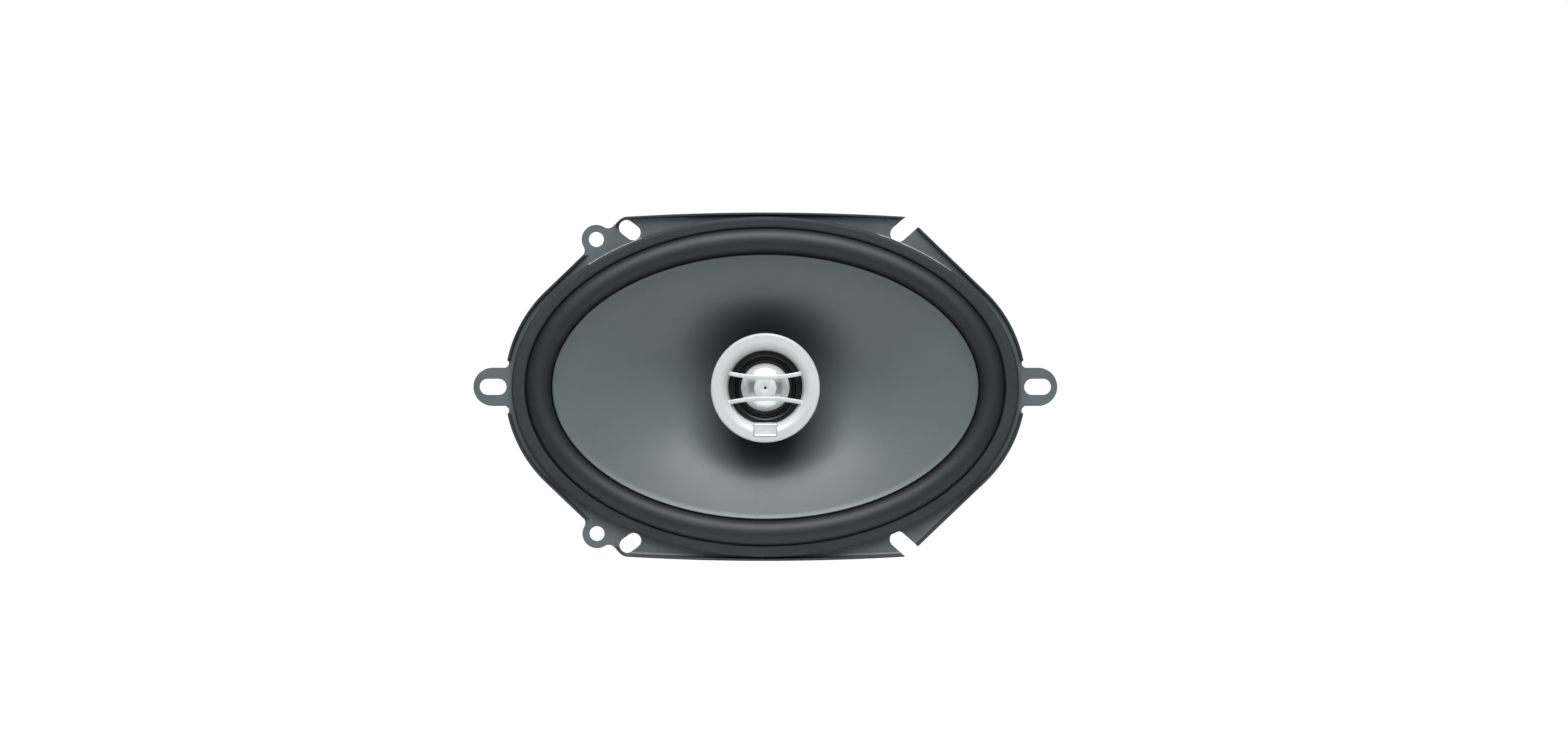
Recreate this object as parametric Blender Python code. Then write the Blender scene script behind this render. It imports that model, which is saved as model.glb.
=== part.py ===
"""Two-way coaxial car speaker with an oval cone and a multi-fit stamped frame.

Dimensions are in millimetres in the speaker's own axes: x along the long side, y along the short
side and z forward, out of the cone, with z = 0 on the rear face of the mounting flange. The empty
speaker_axes turns them so that the speaker stands upright, facing -Y, with its long side on X.
"""

import math

import bmesh
import bpy
from mathutils import Vector

MM = 0.001
GAP = 0.3  # between two pieces that touch

# Flange: a stretched octagon of sheet steel with round ends
SHEET = 1.0
EDGE_HALF_HEIGHT = 71.0  # middle of the bowed top edge
EDGE_BOW_RADIUS = 929.0
END_ARC_CENTRE = 52.2
END_ARC_RADIUS = 53.9
DIAGONAL_ANGLE = math.radians(46.2)  # of its outward normal above the long axis
CORNER_RADIUS = 4.6
LIP_THICKNESS = 0.9
LIP_TOP = 3.0
OPENING_MARGIN = 2.0  # of the flange's opening inside the well's wall

# Fixing holes of the flange
SIDE_EAR_CENTRE = 111.1
SIDE_EAR_RADIUS = 7.8
SIDE_SLOT_CENTRE = 110.9
SIDE_SLOT_HALF_RUN = 2.2
FIXING_RADIUS = 3.28  # of the side slots and the corner notches
ROUND_EAR_CENTRE = (-68.7, 60.0)
ROUND_EAR_RADIUS = 5.95
ROUND_EAR_HOLE_RADIUS = 3.04
ROUND_EAR_FILLET = 3.0
SIDE_EAR_ROOT = 97.0
CORNER_SLOT = ((-56.4, 64.8), (-53.8, 62.8))
CORNER_SLOT_RADIUS = 3.1
CORNER_NOTCH = ((54.1, 62.3), (68.0, 74.6))
RELIEF_CENTRE = (106.0, 9.6)
RELIEF_RADIUS = 1.6
SIDE_LIP_GAP = ((100.0, -10.8), (112.0, 10.8))  # where the lip stops for a side ear
ROUND_LIP_GAP = ((-80.0, 53.6), (-60.6, 76.0))  # and for a round ear

# Oval rings, as half length and half height
GASKET_OUTER = (103.2, 69.3)
GASKET_INNER = (98.5, 65.5)
GASKET_BASE = 2.3
GASKET_TOP = 4.5
ROLL_CENTRE = (92.4, 59.6)
ROLL_RADIUS = 5.1
ROLL_BASE = 1.65
RUBBER = 0.7
CONE_EDGE = (86.4, 53.7)
CONE_EDGE_FRONT = 2.6
CONE_DEPTH = 26.8
CONE_STRAIGHT_SHARE = 0.5  # the rest of the depth follows the cube of the distance from the rim
CONE_SHEET = 0.8
NECK_RADIUS = 13.4

# Basket
BASKET_SHEET = 1.2
WINDOW_CORNER = 2.6
WELL = (90.8, 61.4)
SHOULDER = (87.0, 58.4)
LEDGE_OUTER = 43.5
LEDGE_INNER = 39.3
LEDGE_FRONT = -29.8
BASE_FRONT = -36.5
BASE_BORE = 17.5
WINDOW_INNER = (47.5, 46.5)
WINDOW_OUTER = (84.5, 56.2)
WINDOW_DEPTHS = (-34.0, -4.0)  # what its cutter reaches through
WINDOWS = ((16, 52), (68, 112), (128, 170), (190, 232), (248, 292), (308, 344))

# Motor, front to rear
RIVET_CIRCLE = 28.0
RIVET_HOLE_RADIUS = 2.2
RIVET_SHANK_RADIUS = 1.9
RIVET_HEAD_RADIUS = 3.6
TOP_PLATE = (14.6, 38.0, -43.0, -38.0)  # bore radius, radius, rear, front
FERRITE = (19.0, 42.0, -56.3, -43.3)
BACK_PLATE_RADIUS = 38.0
BACK_PLATE_FRONT = -56.6
BACK_PLATE_REAR = -61.6
POLE_RADIUS = 12.3
POLE_BORE = 4.4
NUT_RECESS_RADIUS = 7.6
NUT_RECESS_FLOOR = -57.0
WIRE_GROOVE_HALF_WIDTH = 1.8
WIRE_GROOVE_START = 5.5
WIRE_GROOVE_FLOOR = -59.6
POST_REAR = -59.9
NUT_RADIUS = 6.6
NUT_HEIGHT = 2.4

# Coil and spider
FORMER = (12.7, 13.1, -44.3, -21.0)
WINDING = (13.4, 14.0, -43.8, -34.8)
SPIDER_INNER = 13.4
SPIDER_OUTER = 43.0
SPIDER_MID = -29.2
SPIDER_WAVE = 1.3
SPIDER_WAVES = 4
SPIDER_SHEET = 0.6

# Tweeter
POST_RADIUS = 4.0
POST_BORE = 2.3
HOUSING_FLOOR = -8.6
HOUSING_REAR = -10.0
HOUSING_TOP = 4.9
HOUSING_RADIUS = 22.0
BEZEL_RADIUS = 22.4
BEZEL_OPENING = 15.05
BEZEL_FRONT = 11.0
GUARD_BACK = 8.4
GUARD_FRONT = 9.8
GUARD_DISC_RADIUS = 4.6
GUARD_PINHOLE = 0.5
BAR_WIDTH = 1.9
BAR_END = (17.2, 6.3)
BAR_MIDDLE = 4.2
BADGE = (9.9, 5.5)
BADGE_CENTRE = -17.0
BADGE_BACK = 9.9
BADGE_FRONT = 11.6
BADGE_BORDER = 0.8
BADGE_RECESS = 0.4
DOME_RADIUS = 9.75
DOME_HEIGHT = 4.4
DOME_BASE = 3.0
DOME_SHEET = 0.4

# Terminal board, on a flat pad pressed into the spoke at +x
BOARD_SEAT = (62.8, 0.0, -24.2)
BOARD_SLOPE = math.radians(23.4)
BOARD = (-16.0, 14.0, 12.0, 1.6)  # inner end, outer end, half width, thickness
BOARD_RIVETS = (-1.0, 8.0)
BOARD_HOLE_RADIUS = 1.4
PAD_DEPTH = 3.2
TAB_WIDTHS = (("positive_terminal", -1, 6.3), ("negative_terminal", 1, 4.8))
TAB_CENTRE = 6.1
TAB_SHEET = 0.8
TAB_FOOT = (3.0, 11.0)
TAB_HEIGHT = 10.0
TAB_EYE_HEIGHT = 7.0
TAB_EYE_RADIUS = 0.9
CAPACITOR_RADIUS = 4.0
CAPACITOR_HALF_LENGTH = 8.0
CAPACITOR_PLACE = -9.0
WIRE_RADIUS = 0.6
WIRE_BESIDE = 0.8  # from the speaker's axis
WIRE_BEHIND = BACK_PLATE_REAR + 0.8
WIRE_OUTSIDE = 43.3  # from the axis, past the magnet
LEAD_RADIUS = 0.5

OVAL_SEGMENTS = 44
ROUND_SEGMENTS = 32
SMALL_SEGMENTS = 16


def clear_scene():
    for thing in list(bpy.data.objects):
        bpy.data.objects.remove(thing, do_unlink=True)


def linear(channel):
    """An sRGB channel from 0 to 255 as the linear value that a shader takes."""
    value = channel / 255
    return value / 12.92 if value <= 0.04045 else ((value + 0.055) / 1.055) ** 2.4


def material(name, colour, roughness, metallic=0.0):
    made = bpy.data.materials.new(name)
    made.use_nodes = True
    shader = made.node_tree.nodes["Principled BSDF"]
    shader.inputs["Base Color"].default_value = (*(linear(c) for c in colour), 1.0)
    shader.inputs["Roughness"].default_value = roughness
    shader.inputs["Metallic"].default_value = metallic
    return made


def axes_empty(name, parent=None, location=(0, 0, 0), rotation=(0, 0, 0)):
    empty = bpy.data.objects.new(name, None)
    empty.empty_display_size = 0.02
    empty.parent = parent
    empty.location = Vector(location) * MM
    empty.rotation_euler = rotation
    bpy.context.scene.collection.objects.link(empty)
    return empty


def place(name, data, finish, parent):
    """A new object with this mesh or curve, smooth where it is round."""
    if isinstance(data, bpy.types.Mesh):
        data.shade_smooth()
        data.set_sharp_from_angle(angle=math.radians(35))
    data.materials.append(finish)
    made = bpy.data.objects.new(name, data)
    made.parent = parent
    bpy.context.scene.collection.objects.link(made)
    return made


def mesh_of(name, shape):
    """A mesh from this bmesh, in metres, with its faces pointing out."""
    bmesh.ops.recalc_face_normals(shape, faces=shape.faces)
    bmesh.ops.scale(shape, vec=(MM, MM, MM), verts=shape.verts)
    mesh = bpy.data.meshes.new(name)
    shape.to_mesh(mesh)
    shape.free()
    return mesh


def loop_of(shape, half_length, half_height, z, segments):
    """Vertices round an oval, or one vertex on the axis where it has no size."""
    if half_length == 0:
        return [shape.verts.new((0, 0, z))]
    turns = (math.tau * k / segments for k in range(segments))
    spots = ((half_length * math.cos(t), half_height * math.sin(t), z) for t in turns)
    return [shape.verts.new(spot) for spot in spots]


def join_loops(shape, first, second):
    """Quads between two loops, or triangles where one of them is a point."""
    count = max(len(first), len(second))
    for k in range(count):
        after = (k + 1) % count
        corners = [first[k % len(first)], first[after % len(first)]]
        corners += [second[after % len(second)], second[k % len(second)]]
        shape.faces.new(list(dict.fromkeys(corners)))


def oval_mesh(name, rings, segments=OVAL_SEGMENTS):
    """A ring-shaped body through the rings, or a solid where the first and last are points."""
    shape = bmesh.new()
    loops = [loop_of(shape, *ring, segments) for ring in rings]
    for first, second in zip(loops, loops[1:]):
        join_loops(shape, first, second)
    if len(loops[0]) > 1:
        join_loops(shape, loops[-1], loops[0])
    return mesh_of(name, shape)


def turned_mesh(name, profile, segments=ROUND_SEGMENTS):
    """The same for a round piece, from its profile's radii and heights."""
    return oval_mesh(name, [(radius, radius, z) for radius, z in profile], segments)


def add_prism(shape, outline, low, high):
    """Adds an upright prism on an outline to a bmesh."""
    bottom = [shape.verts.new((x, y, low)) for x, y in outline]
    top = [shape.verts.new((x, y, high)) for x, y in outline]
    shape.faces.new(bottom)
    shape.faces.new(top)
    join_loops(shape, bottom, top)


def prisms_mesh(name, prisms):
    """A mesh of one or more separate prisms, each an outline with its low and high z."""
    shape = bmesh.new()
    for outline, low, high in prisms:
        add_prism(shape, outline, low, high)
    return mesh_of(name, shape)


def tool(name, mesh, parent):
    """A helper body that shapes another one and isn't a piece of the speaker."""
    helper = bpy.data.objects.new(name, mesh)
    helper.parent = parent
    helper.hide_render = True
    helper.display_type = "WIRE"
    bpy.context.scene.collection.objects.link(helper)
    return helper


def combine(body, helper, operation):
    step = body.modifiers.new(helper.name, "BOOLEAN")
    step.operation = operation
    step.solver = "EXACT"
    step.object = helper


def arc(centre, radius, start, end, steps):
    """Points along an arc, with its angles in radians."""
    angles = (start + (end - start) * k / steps for k in range(steps + 1))
    return [(centre[0] + radius * math.cos(a), centre[1] + radius * math.sin(a)) for a in angles]


def circle(centre, radius, segments=SMALL_SEGMENTS):
    return arc(centre, radius, 0, math.tau, segments)[:-1]


def capsule(start, end, radius, steps=7):
    """The outline of a slot between two centres."""
    along = math.atan2(end[1] - start[1], end[0] - start[0])
    quarter = math.pi / 2
    near = arc(start, radius, along + quarter, along + 3 * quarter, steps)
    return near + arc(end, radius, along - quarter, along + quarter, steps)


def rectangle(low, high):
    return [low, (high[0], low[1]), high, (low[0], high[1])]


def mirrored(outline, x=1, y=1):
    return [(x * px, y * py) for px, py in outline]


def rim_outline(inset):
    """The flange's stretched octagon, moved in from its edge by inset."""
    bow_centre = EDGE_HALF_HEIGHT - EDGE_BOW_RADIUS
    normal = Vector((math.cos(DIAGONAL_ANGLE), math.sin(DIAGONAL_ANGLE)))
    along = Vector((-normal.y, normal.x))
    diagonal = END_ARC_CENTRE * normal.x + END_ARC_RADIUS
    # The corner's centre is a corner radius inside both the diagonal and the bowed edge.
    foot = (diagonal - CORNER_RADIUS) * normal - Vector((0, bow_centre))
    half = foot.dot(along)
    reach = (EDGE_BOW_RADIUS - CORNER_RADIUS) ** 2 - foot.length_squared
    slide = -half + math.sqrt(half * half + reach)
    corner = foot + slide * along + Vector((0, bow_centre))
    top_angle = math.atan2(corner.y - bow_centre, corner.x)
    quarter = arc((END_ARC_CENTRE, 0), END_ARC_RADIUS - inset, 0, DIAGONAL_ANGLE, 8)
    quarter += arc(corner, CORNER_RADIUS - inset, DIAGONAL_ANGLE, top_angle, 4)
    bow = arc((0, bow_centre), EDGE_BOW_RADIUS - inset, top_angle, math.pi / 2, 4)
    quarter += bow[1:]
    right = quarter + mirrored(quarter, x=-1)[-2::-1]
    return right + mirrored(right, y=-1)[-2:0:-1]


def round_ear_outline(side):
    """The small round ear of a left corner, with a concave fillet on each side of its neck."""
    normal = Vector((-math.cos(DIAGONAL_ANGLE), math.sin(DIAGONAL_ANGLE)))
    along = Vector((-normal.y, normal.x))
    diagonal = END_ARC_CENTRE * -normal.x + END_ARC_RADIUS
    centre = Vector(ROUND_EAR_CENTRE)
    proud = centre.dot(normal) - diagonal
    fillet_rise = ROUND_EAR_FILLET - proud
    fillet_reach = math.sqrt((ROUND_EAR_RADIUS + ROUND_EAR_FILLET) ** 2 - fillet_rise**2)
    lean = math.atan2(fillet_rise, fillet_reach)
    fillet = arc((fillet_reach, fillet_rise), ROUND_EAR_FILLET, -math.pi / 2, -math.pi + lean, 4)
    crown = arc((0, 0), ROUND_EAR_RADIUS, lean, math.pi - lean, 10)
    root = -proud - 2.5
    outline = [(fillet_reach, root), *fillet, *crown[1:-1], *mirrored(fillet, x=-1)[::-1]]
    outline.append((-fillet_reach, root))
    turned = [centre - along * u + normal * v for u, v in outline]
    return [(point.x, side * point.y) for point in turned]


def window_outline(start, end, steps=6):
    """An opening between two spokes, between two angles in degrees."""

    def along(ring, first, last):
        turns = (math.radians(first + (last - first) * k / steps) for k in range(steps + 1))
        return [(ring[0] * math.cos(t), ring[1] * math.sin(t)) for t in turns]

    return along(WINDOW_INNER, start, end) + along(WINDOW_OUTER, end, start)


def windows_mesh():
    """Every window as one cutter, with rounded corners."""
    shape = bmesh.new()
    for start, end in WINDOWS:
        add_prism(shape, window_outline(start, end), *WINDOW_DEPTHS)
    upright = [e for e in shape.edges if abs(e.verts[0].co.z - e.verts[1].co.z) > 1]
    bmesh.ops.recalc_face_normals(shape, faces=shape.faces)
    corners = [e for e in upright if e.calc_face_angle(0) > 0.7]
    bmesh.ops.bevel(
        shape, geom=corners, offset=WINDOW_CORNER, segments=3, profile=0.5, affect="EDGES"
    )
    return mesh_of("windows", shape)


def basket_shell_mesh():
    """The pressed well, its slope, the spider's ledge and the base, as one sheet."""
    sheet = BASKET_SHEET
    ledge_rear = LEDGE_FRONT - sheet
    base_rear = BASE_FRONT - sheet
    base_outer = LEDGE_INNER + sheet
    rings = [
        (*WELL, 0.6),
        (WELL[0] - 0.4, WELL[1] - 0.4, -8.0),
        (*SHOULDER, -11.5),
        (LEDGE_OUTER + 2.0, LEDGE_OUTER + 1.5, LEDGE_FRONT + 0.3),
        (LEDGE_OUTER, LEDGE_OUTER, ledge_rear),
        (base_outer, base_outer, ledge_rear),
        (base_outer, base_outer, base_rear),
        (BASE_BORE, BASE_BORE, base_rear),
        (BASE_BORE, BASE_BORE, BASE_FRONT),
        (LEDGE_INNER, LEDGE_INNER, BASE_FRONT),
        (LEDGE_INNER, LEDGE_INNER, LEDGE_FRONT),
        (LEDGE_OUTER + 0.5, LEDGE_OUTER + 0.1, LEDGE_FRONT),
        (SHOULDER[0] - 0.9, SHOULDER[1] - 1.1, -10.4),
        (WELL[0] - 1.6, WELL[1] - 1.6, -7.6),
        (WELL[0] - 1.2, WELL[1] - 1.2, 0.6),
    ]
    return oval_mesh("basket_shell", rings)


def frame_rivet_places():
    angles = (math.radians(45 + 90 * k) for k in range(4))
    return [(RIVET_CIRCLE * math.cos(a), RIVET_CIRCLE * math.sin(a)) for a in angles]


def punched_holes_mesh():
    """Every hole, slot and notch of the frame as one cutter."""
    slot_start = (SIDE_SLOT_CENTRE - SIDE_SLOT_HALF_RUN, 0)
    slot_end = (SIDE_SLOT_CENTRE + SIDE_SLOT_HALF_RUN, 0)
    side_slot = capsule(slot_start, slot_end, FIXING_RADIUS)
    corner_slot = capsule(*CORNER_SLOT, CORNER_SLOT_RADIUS)
    notch = capsule(*CORNER_NOTCH, FIXING_RADIUS)
    round_hole = circle(ROUND_EAR_CENTRE, ROUND_EAR_HOLE_RADIUS)
    relief = circle(RELIEF_CENTRE, RELIEF_RADIUS, 10)
    holes = [mirrored(side_slot, x=side) for side in (-1, 1)]
    for side in (-1, 1):
        holes += [mirrored(hole, y=side) for hole in (round_hole, corner_slot, notch)]
        holes += [mirrored(relief, x=end, y=side) for end in (-1, 1)]
    prisms = [(hole, -2, LIP_TOP + 3) for hole in holes]
    rivet_holes = [circle(spot, RIVET_HOLE_RADIUS, 12) for spot in frame_rivet_places()]
    prisms += [(hole, BASE_FRONT - 3.5, BASE_FRONT + 1.5) for hole in rivet_holes]
    return prisms_mesh("punched_holes", prisms)


def flange_tray_mesh():
    """The flange before it is punched: a sheet with a turned edge and an oval opening."""
    shape = bmesh.new()
    levels = ((0, 0), (0, LIP_TOP), (LIP_THICKNESS, LIP_TOP), (LIP_THICKNESS, SHEET))
    loops = [[shape.verts.new((x, y, z)) for x, y in rim_outline(inset)] for inset, z in levels]
    half_length, half_height = WELL[0] - OPENING_MARGIN, WELL[1] - OPENING_MARGIN
    turns = [math.atan2(y / half_height, x / half_length) for x, y in rim_outline(0)]
    for z in (SHEET, 0):
        edge = [(half_length * math.cos(t), half_height * math.sin(t), z) for t in turns]
        loops.append([shape.verts.new(point) for point in edge])
    for first, second in zip(loops, loops[1:] + loops[:1]):
        join_loops(shape, first, second)
    return mesh_of("flange_tray", shape)


def basket_frame(root, finish):
    """The stamped frame: flange with its lip, ears and holes, well, spokes and base."""
    frame = place("basket_frame", flange_tray_mesh(), finish, root)
    side_gap, round_gap = rectangle(*SIDE_LIP_GAP), rectangle(*ROUND_LIP_GAP)
    gaps = [mirrored(side_gap, x=side) for side in (-1, 1)]
    gaps += [mirrored(round_gap, y=side) for side in (-1, 1)]
    lip_gaps = prisms_mesh("lip_gaps", [(gap, SHEET, LIP_TOP + 1) for gap in gaps])
    combine(frame, tool("lip_gaps", lip_gaps, root), "DIFFERENCE")
    side_ear = capsule((SIDE_EAR_ROOT, 0), (SIDE_EAR_CENTRE, 0), SIDE_EAR_RADIUS)
    ears = [mirrored(side_ear, x=side) for side in (-1, 1)]
    ears += [round_ear_outline(side) for side in (-1, 1)]
    ears_mesh = prisms_mesh("ears", [(ear, 0, SHEET) for ear in ears])
    combine(frame, tool("ears", ears_mesh, root), "UNION")
    combine(frame, tool("basket_shell", basket_shell_mesh(), root), "UNION")
    combine(frame, tool("windows", windows_mesh(), root), "DIFFERENCE")
    combine(frame, tool("punched_holes", punched_holes_mesh(), root), "DIFFERENCE")
    return frame


def board_outline():
    inner, outer, half_width, _ = BOARD
    return rectangle((inner, -half_width), (outer, half_width))


def board_holes_mesh(name, low, high):
    holes = [(circle((x, 0), BOARD_HOLE_RADIUS, 10), low, high) for x in BOARD_RIVETS]
    return prisms_mesh(name, holes)


def terminal_pad(frame, seat):
    """The flat pad under the terminal board, with the holes for its two rivets."""
    pad = prisms_mesh("terminal_pad", [(board_outline(), -PAD_DEPTH, 0)])
    combine(frame, tool("terminal_pad", pad, seat), "UNION")
    holes = board_holes_mesh("board_rivet_holes", 0.6 - PAD_DEPTH, 1)
    combine(frame, tool("board_rivet_holes", holes, seat), "DIFFERENCE")


def front_gasket(root, finish):
    outer, inner = GASKET_OUTER, GASKET_INNER
    rings = [
        (*outer, GASKET_BASE),
        (*outer, GASKET_TOP - 1.0),
        (outer[0] - 0.9, outer[1] - 0.9, GASKET_TOP),
        (inner[0] + 0.8, inner[1] + 0.8, GASKET_TOP),
        (*inner, GASKET_TOP - 0.7),
        (*inner, GASKET_BASE),
    ]
    place("front_gasket", oval_mesh("front_gasket", rings), finish, root)


def cone_ring(share, drop=0.0):
    """A ring of the cone from its neck, at share 0, to its rim, at 1; drop is below its front."""
    out = 1 - share
    depth = CONE_STRAIGHT_SHARE * out + (1 - CONE_STRAIGHT_SHARE) * out**3
    half_length = NECK_RADIUS + (CONE_EDGE[0] - NECK_RADIUS) * share
    half_height = NECK_RADIUS + (CONE_EDGE[1] - NECK_RADIUS) * share
    return half_length, half_height, CONE_EDGE_FRONT - CONE_DEPTH * depth - drop


def surround(root, finish):
    """The half roll between the gasket's lip and the flap glued under the cone's rim."""

    def side(offset, steps=5):
        radius = ROLL_RADIUS + offset
        flap = CONE_SHEET + GAP + RUBBER / 2 - offset
        lip = ROLL_BASE + offset
        rings = [(GASKET_OUTER[0] - 0.5, GASKET_OUTER[1] - 0.5, lip)]
        rings.append((GASKET_INNER[0] - 0.3, GASKET_INNER[1] - 0.3, lip))
        for k in range(steps + 1):
            turn = math.pi * (0.06 + 0.88 * k / steps)
            out = radius * math.cos(turn)
            height = ROLL_BASE + radius * math.sin(turn)
            rings.append((ROLL_CENTRE[0] + out, ROLL_CENTRE[1] + out, height))
        rim = cone_ring(1, flap)
        rings.append((rim[0] + 0.5, rim[1] + 0.5, rim[2]))
        rings.append(cone_ring(0.93, flap))
        return rings

    half = RUBBER / 2
    rings = side(half) + side(-half)[::-1]
    place("surround", oval_mesh("surround", rings), finish, root)


def woofer_cone(moving, finish):
    shares = (0.0, 0.05, 0.12, 0.22, 0.4, 0.65, 1.0)
    front = [cone_ring(share) for share in shares]
    rear = [cone_ring(share, CONE_SHEET) for share in shares]
    place("woofer_cone", oval_mesh("woofer_cone", front + rear[::-1]), finish, moving)


def tube(name, inner, outer, rear, front, finish, parent):
    profile = [(outer, rear), (outer, front), (inner, front), (inner, rear)]
    place(name, turned_mesh(name, profile), finish, parent)


def chamfered_ring(name, sizes, chamfer, finish, parent):
    """A magnet or plate: a flat ring with a chamfer on both outer edges."""
    inner, outer, rear, front = sizes
    profile = [
        (inner, rear),
        (outer - chamfer, rear),
        (outer, rear + chamfer),
        (outer, front - chamfer),
        (outer - chamfer, front),
        (inner, front),
    ]
    return place(name, turned_mesh(name, profile), finish, parent)


def spider(root, finish):
    """The corrugated disc that centres the coil, flat where it is glued."""
    start, end = SPIDER_INNER + 1.6, LEDGE_INNER - 1.0
    points = 2 * SPIDER_WAVES + 1
    middle = [(SPIDER_INNER, SPIDER_MID)]
    for k in range(points):
        height = 0 if k in (0, points - 1) else SPIDER_WAVE * (1 if k % 2 else -1)
        middle.append((start + (end - start) * k / (points - 1), SPIDER_MID + height))
    middle.append((SPIDER_OUTER, SPIDER_MID))
    half = SPIDER_SHEET / 2
    profile = [(radius, z + half) for radius, z in middle]
    profile += [(radius, z - half) for radius, z in reversed(middle)]
    place("spider", turned_mesh("spider", profile, 28), finish, root)


def top_plate(root, finish):
    plate = chamfered_ring("top_plate", TOP_PLATE, 0.6, finish, root)
    front = TOP_PLATE[3]
    circles = [circle(spot, RIVET_HOLE_RADIUS, 12) for spot in frame_rivet_places()]
    holes = prisms_mesh("top_plate_holes", [(hole, front - 3.6, front + 1) for hole in circles])
    combine(plate, tool("top_plate_holes", holes, root), "DIFFERENCE")


def pole_back_plate(root, finish):
    """The back plate and pole in one forging, bored for the post, with a recess for its nut."""
    front = TOP_PLATE[3]
    profile = [
        (NUT_RECESS_RADIUS, BACK_PLATE_REAR),
        (BACK_PLATE_RADIUS - 1.0, BACK_PLATE_REAR),
        (BACK_PLATE_RADIUS, BACK_PLATE_REAR + 1.0),
        (BACK_PLATE_RADIUS, BACK_PLATE_FRONT - 0.5),
        (BACK_PLATE_RADIUS - 0.5, BACK_PLATE_FRONT),
        (POLE_RADIUS + 1.5, BACK_PLATE_FRONT),
        (POLE_RADIUS, BACK_PLATE_FRONT + 1.5),
        (POLE_RADIUS, front - 0.6),
        (POLE_RADIUS - 0.6, front),
        (POLE_BORE, front),
        (POLE_BORE, NUT_RECESS_FLOOR),
        (NUT_RECESS_RADIUS, NUT_RECESS_FLOOR),
    ]
    plate = place("pole_back_plate", turned_mesh("pole_back_plate", profile), finish, root)
    half = WIRE_GROOVE_HALF_WIDTH
    channel = rectangle((WIRE_GROOVE_START, -half), (BACK_PLATE_RADIUS + 7, half))
    groove = prisms_mesh("wire_groove", [(channel, BACK_PLATE_REAR - 1, WIRE_GROOVE_FLOOR)])
    combine(plate, tool("wire_groove", groove, root), "DIFFERENCE")


def rivet_mesh(name, shank_radius, head_radius, shank_end, seat, head_top):
    profile = [
        (0, shank_end),
        (shank_radius, shank_end),
        (shank_radius, seat),
        (head_radius, seat),
        (head_radius * 0.8, head_top - 0.3),
        (head_radius * 0.4, head_top),
        (0, head_top),
    ]
    return turned_mesh(name, profile, 12)


def frame_rivets(root, finish):
    shank, head, seat = RIVET_SHANK_RADIUS, RIVET_HEAD_RADIUS, BASE_FRONT + GAP
    for number, (x, y) in enumerate(frame_rivet_places(), start=1):
        name = f"frame_rivet_{number}"
        mesh = rivet_mesh(name, shank, head, BASE_FRONT - 4.6, seat, BASE_FRONT + 2.0)
        place(name, mesh, finish, root).location = (x * MM, y * MM, 0)


def tweeter_post(root, finish):
    """The hollow post: a collar on the pole, a flange under the housing, a threaded rear end."""
    collar = TOP_PLATE[3] + GAP
    flange = HOUSING_REAR - GAP
    outside = [
        (POST_RADIUS, POST_REAR),
        (POST_RADIUS, collar),
        (7.0, collar),
        (7.0, collar + 2.0),
        (5.2, collar + 3.5),
        (5.2, flange - 3.5),
        (8.0, flange - 2.0),
        (8.0, flange),
        (POST_RADIUS, flange),
        (POST_RADIUS, HOUSING_FLOOR),
    ]
    bore = [(POST_BORE, HOUSING_FLOOR), (POST_BORE, POST_REAR)]
    place("tweeter_post", turned_mesh("tweeter_post", outside + bore, 24), finish, root)


def post_nut(root, finish):
    front = NUT_RECESS_FLOOR - GAP
    hexagon = circle((0, 0), NUT_RADIUS, 6)
    nut = prisms_mesh("post_nut", [(hexagon, front - NUT_HEIGHT, front)])
    body = place("post_nut", nut, finish, root)
    hole = circle((0, 0), POST_RADIUS + GAP, 24)
    bore = prisms_mesh("nut_bore", [(hole, front - NUT_HEIGHT - 1, front + 1)])
    combine(body, tool("nut_bore", bore, root), "DIFFERENCE")


def tweeter_housing(root, finish):
    profile = [
        (POST_RADIUS + GAP, HOUSING_REAR),
        (10.5, HOUSING_REAR),
        (15.5, -8.2),
        (19.6, -4.0),
        (21.6, 0.5),
        (HOUSING_RADIUS, 2.5),
        (HOUSING_RADIUS, HOUSING_TOP),
        (HOUSING_RADIUS - 1.1, HOUSING_TOP),
        (HOUSING_RADIUS - 1.1, 1.2),
        (18.4, -3.2),
        (14.9, -6.6),
        (12.8, HOUSING_FLOOR),
        (POST_RADIUS + GAP, HOUSING_FLOOR),
    ]
    place("tweeter_housing", turned_mesh("tweeter_housing", profile), finish, root)


def guard_bar_outline(side, steps=8):
    """A bar across the tweeter's mouth that curves in towards the middle."""
    end_x, end_y = BAR_END
    xs = [-end_x + 2 * end_x * k / steps for k in range(steps + 1)]
    curve = [(x, BAR_MIDDLE + (end_y - BAR_MIDDLE) * (x / end_x) ** 2) for x in xs]
    lower = [(x, side * (y - BAR_WIDTH / 2)) for x, y in curve]
    upper = [(x, side * (y + BAR_WIDTH / 2)) for x, y in curve]
    return lower + upper[::-1]


def badge_outline(margin=0.0):
    half_x, half_y = BADGE[0] / 2 + margin, BADGE[1] / 2 + margin
    return rectangle((-half_x, BADGE_CENTRE - half_y), (half_x, BADGE_CENTRE + half_y))


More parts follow.
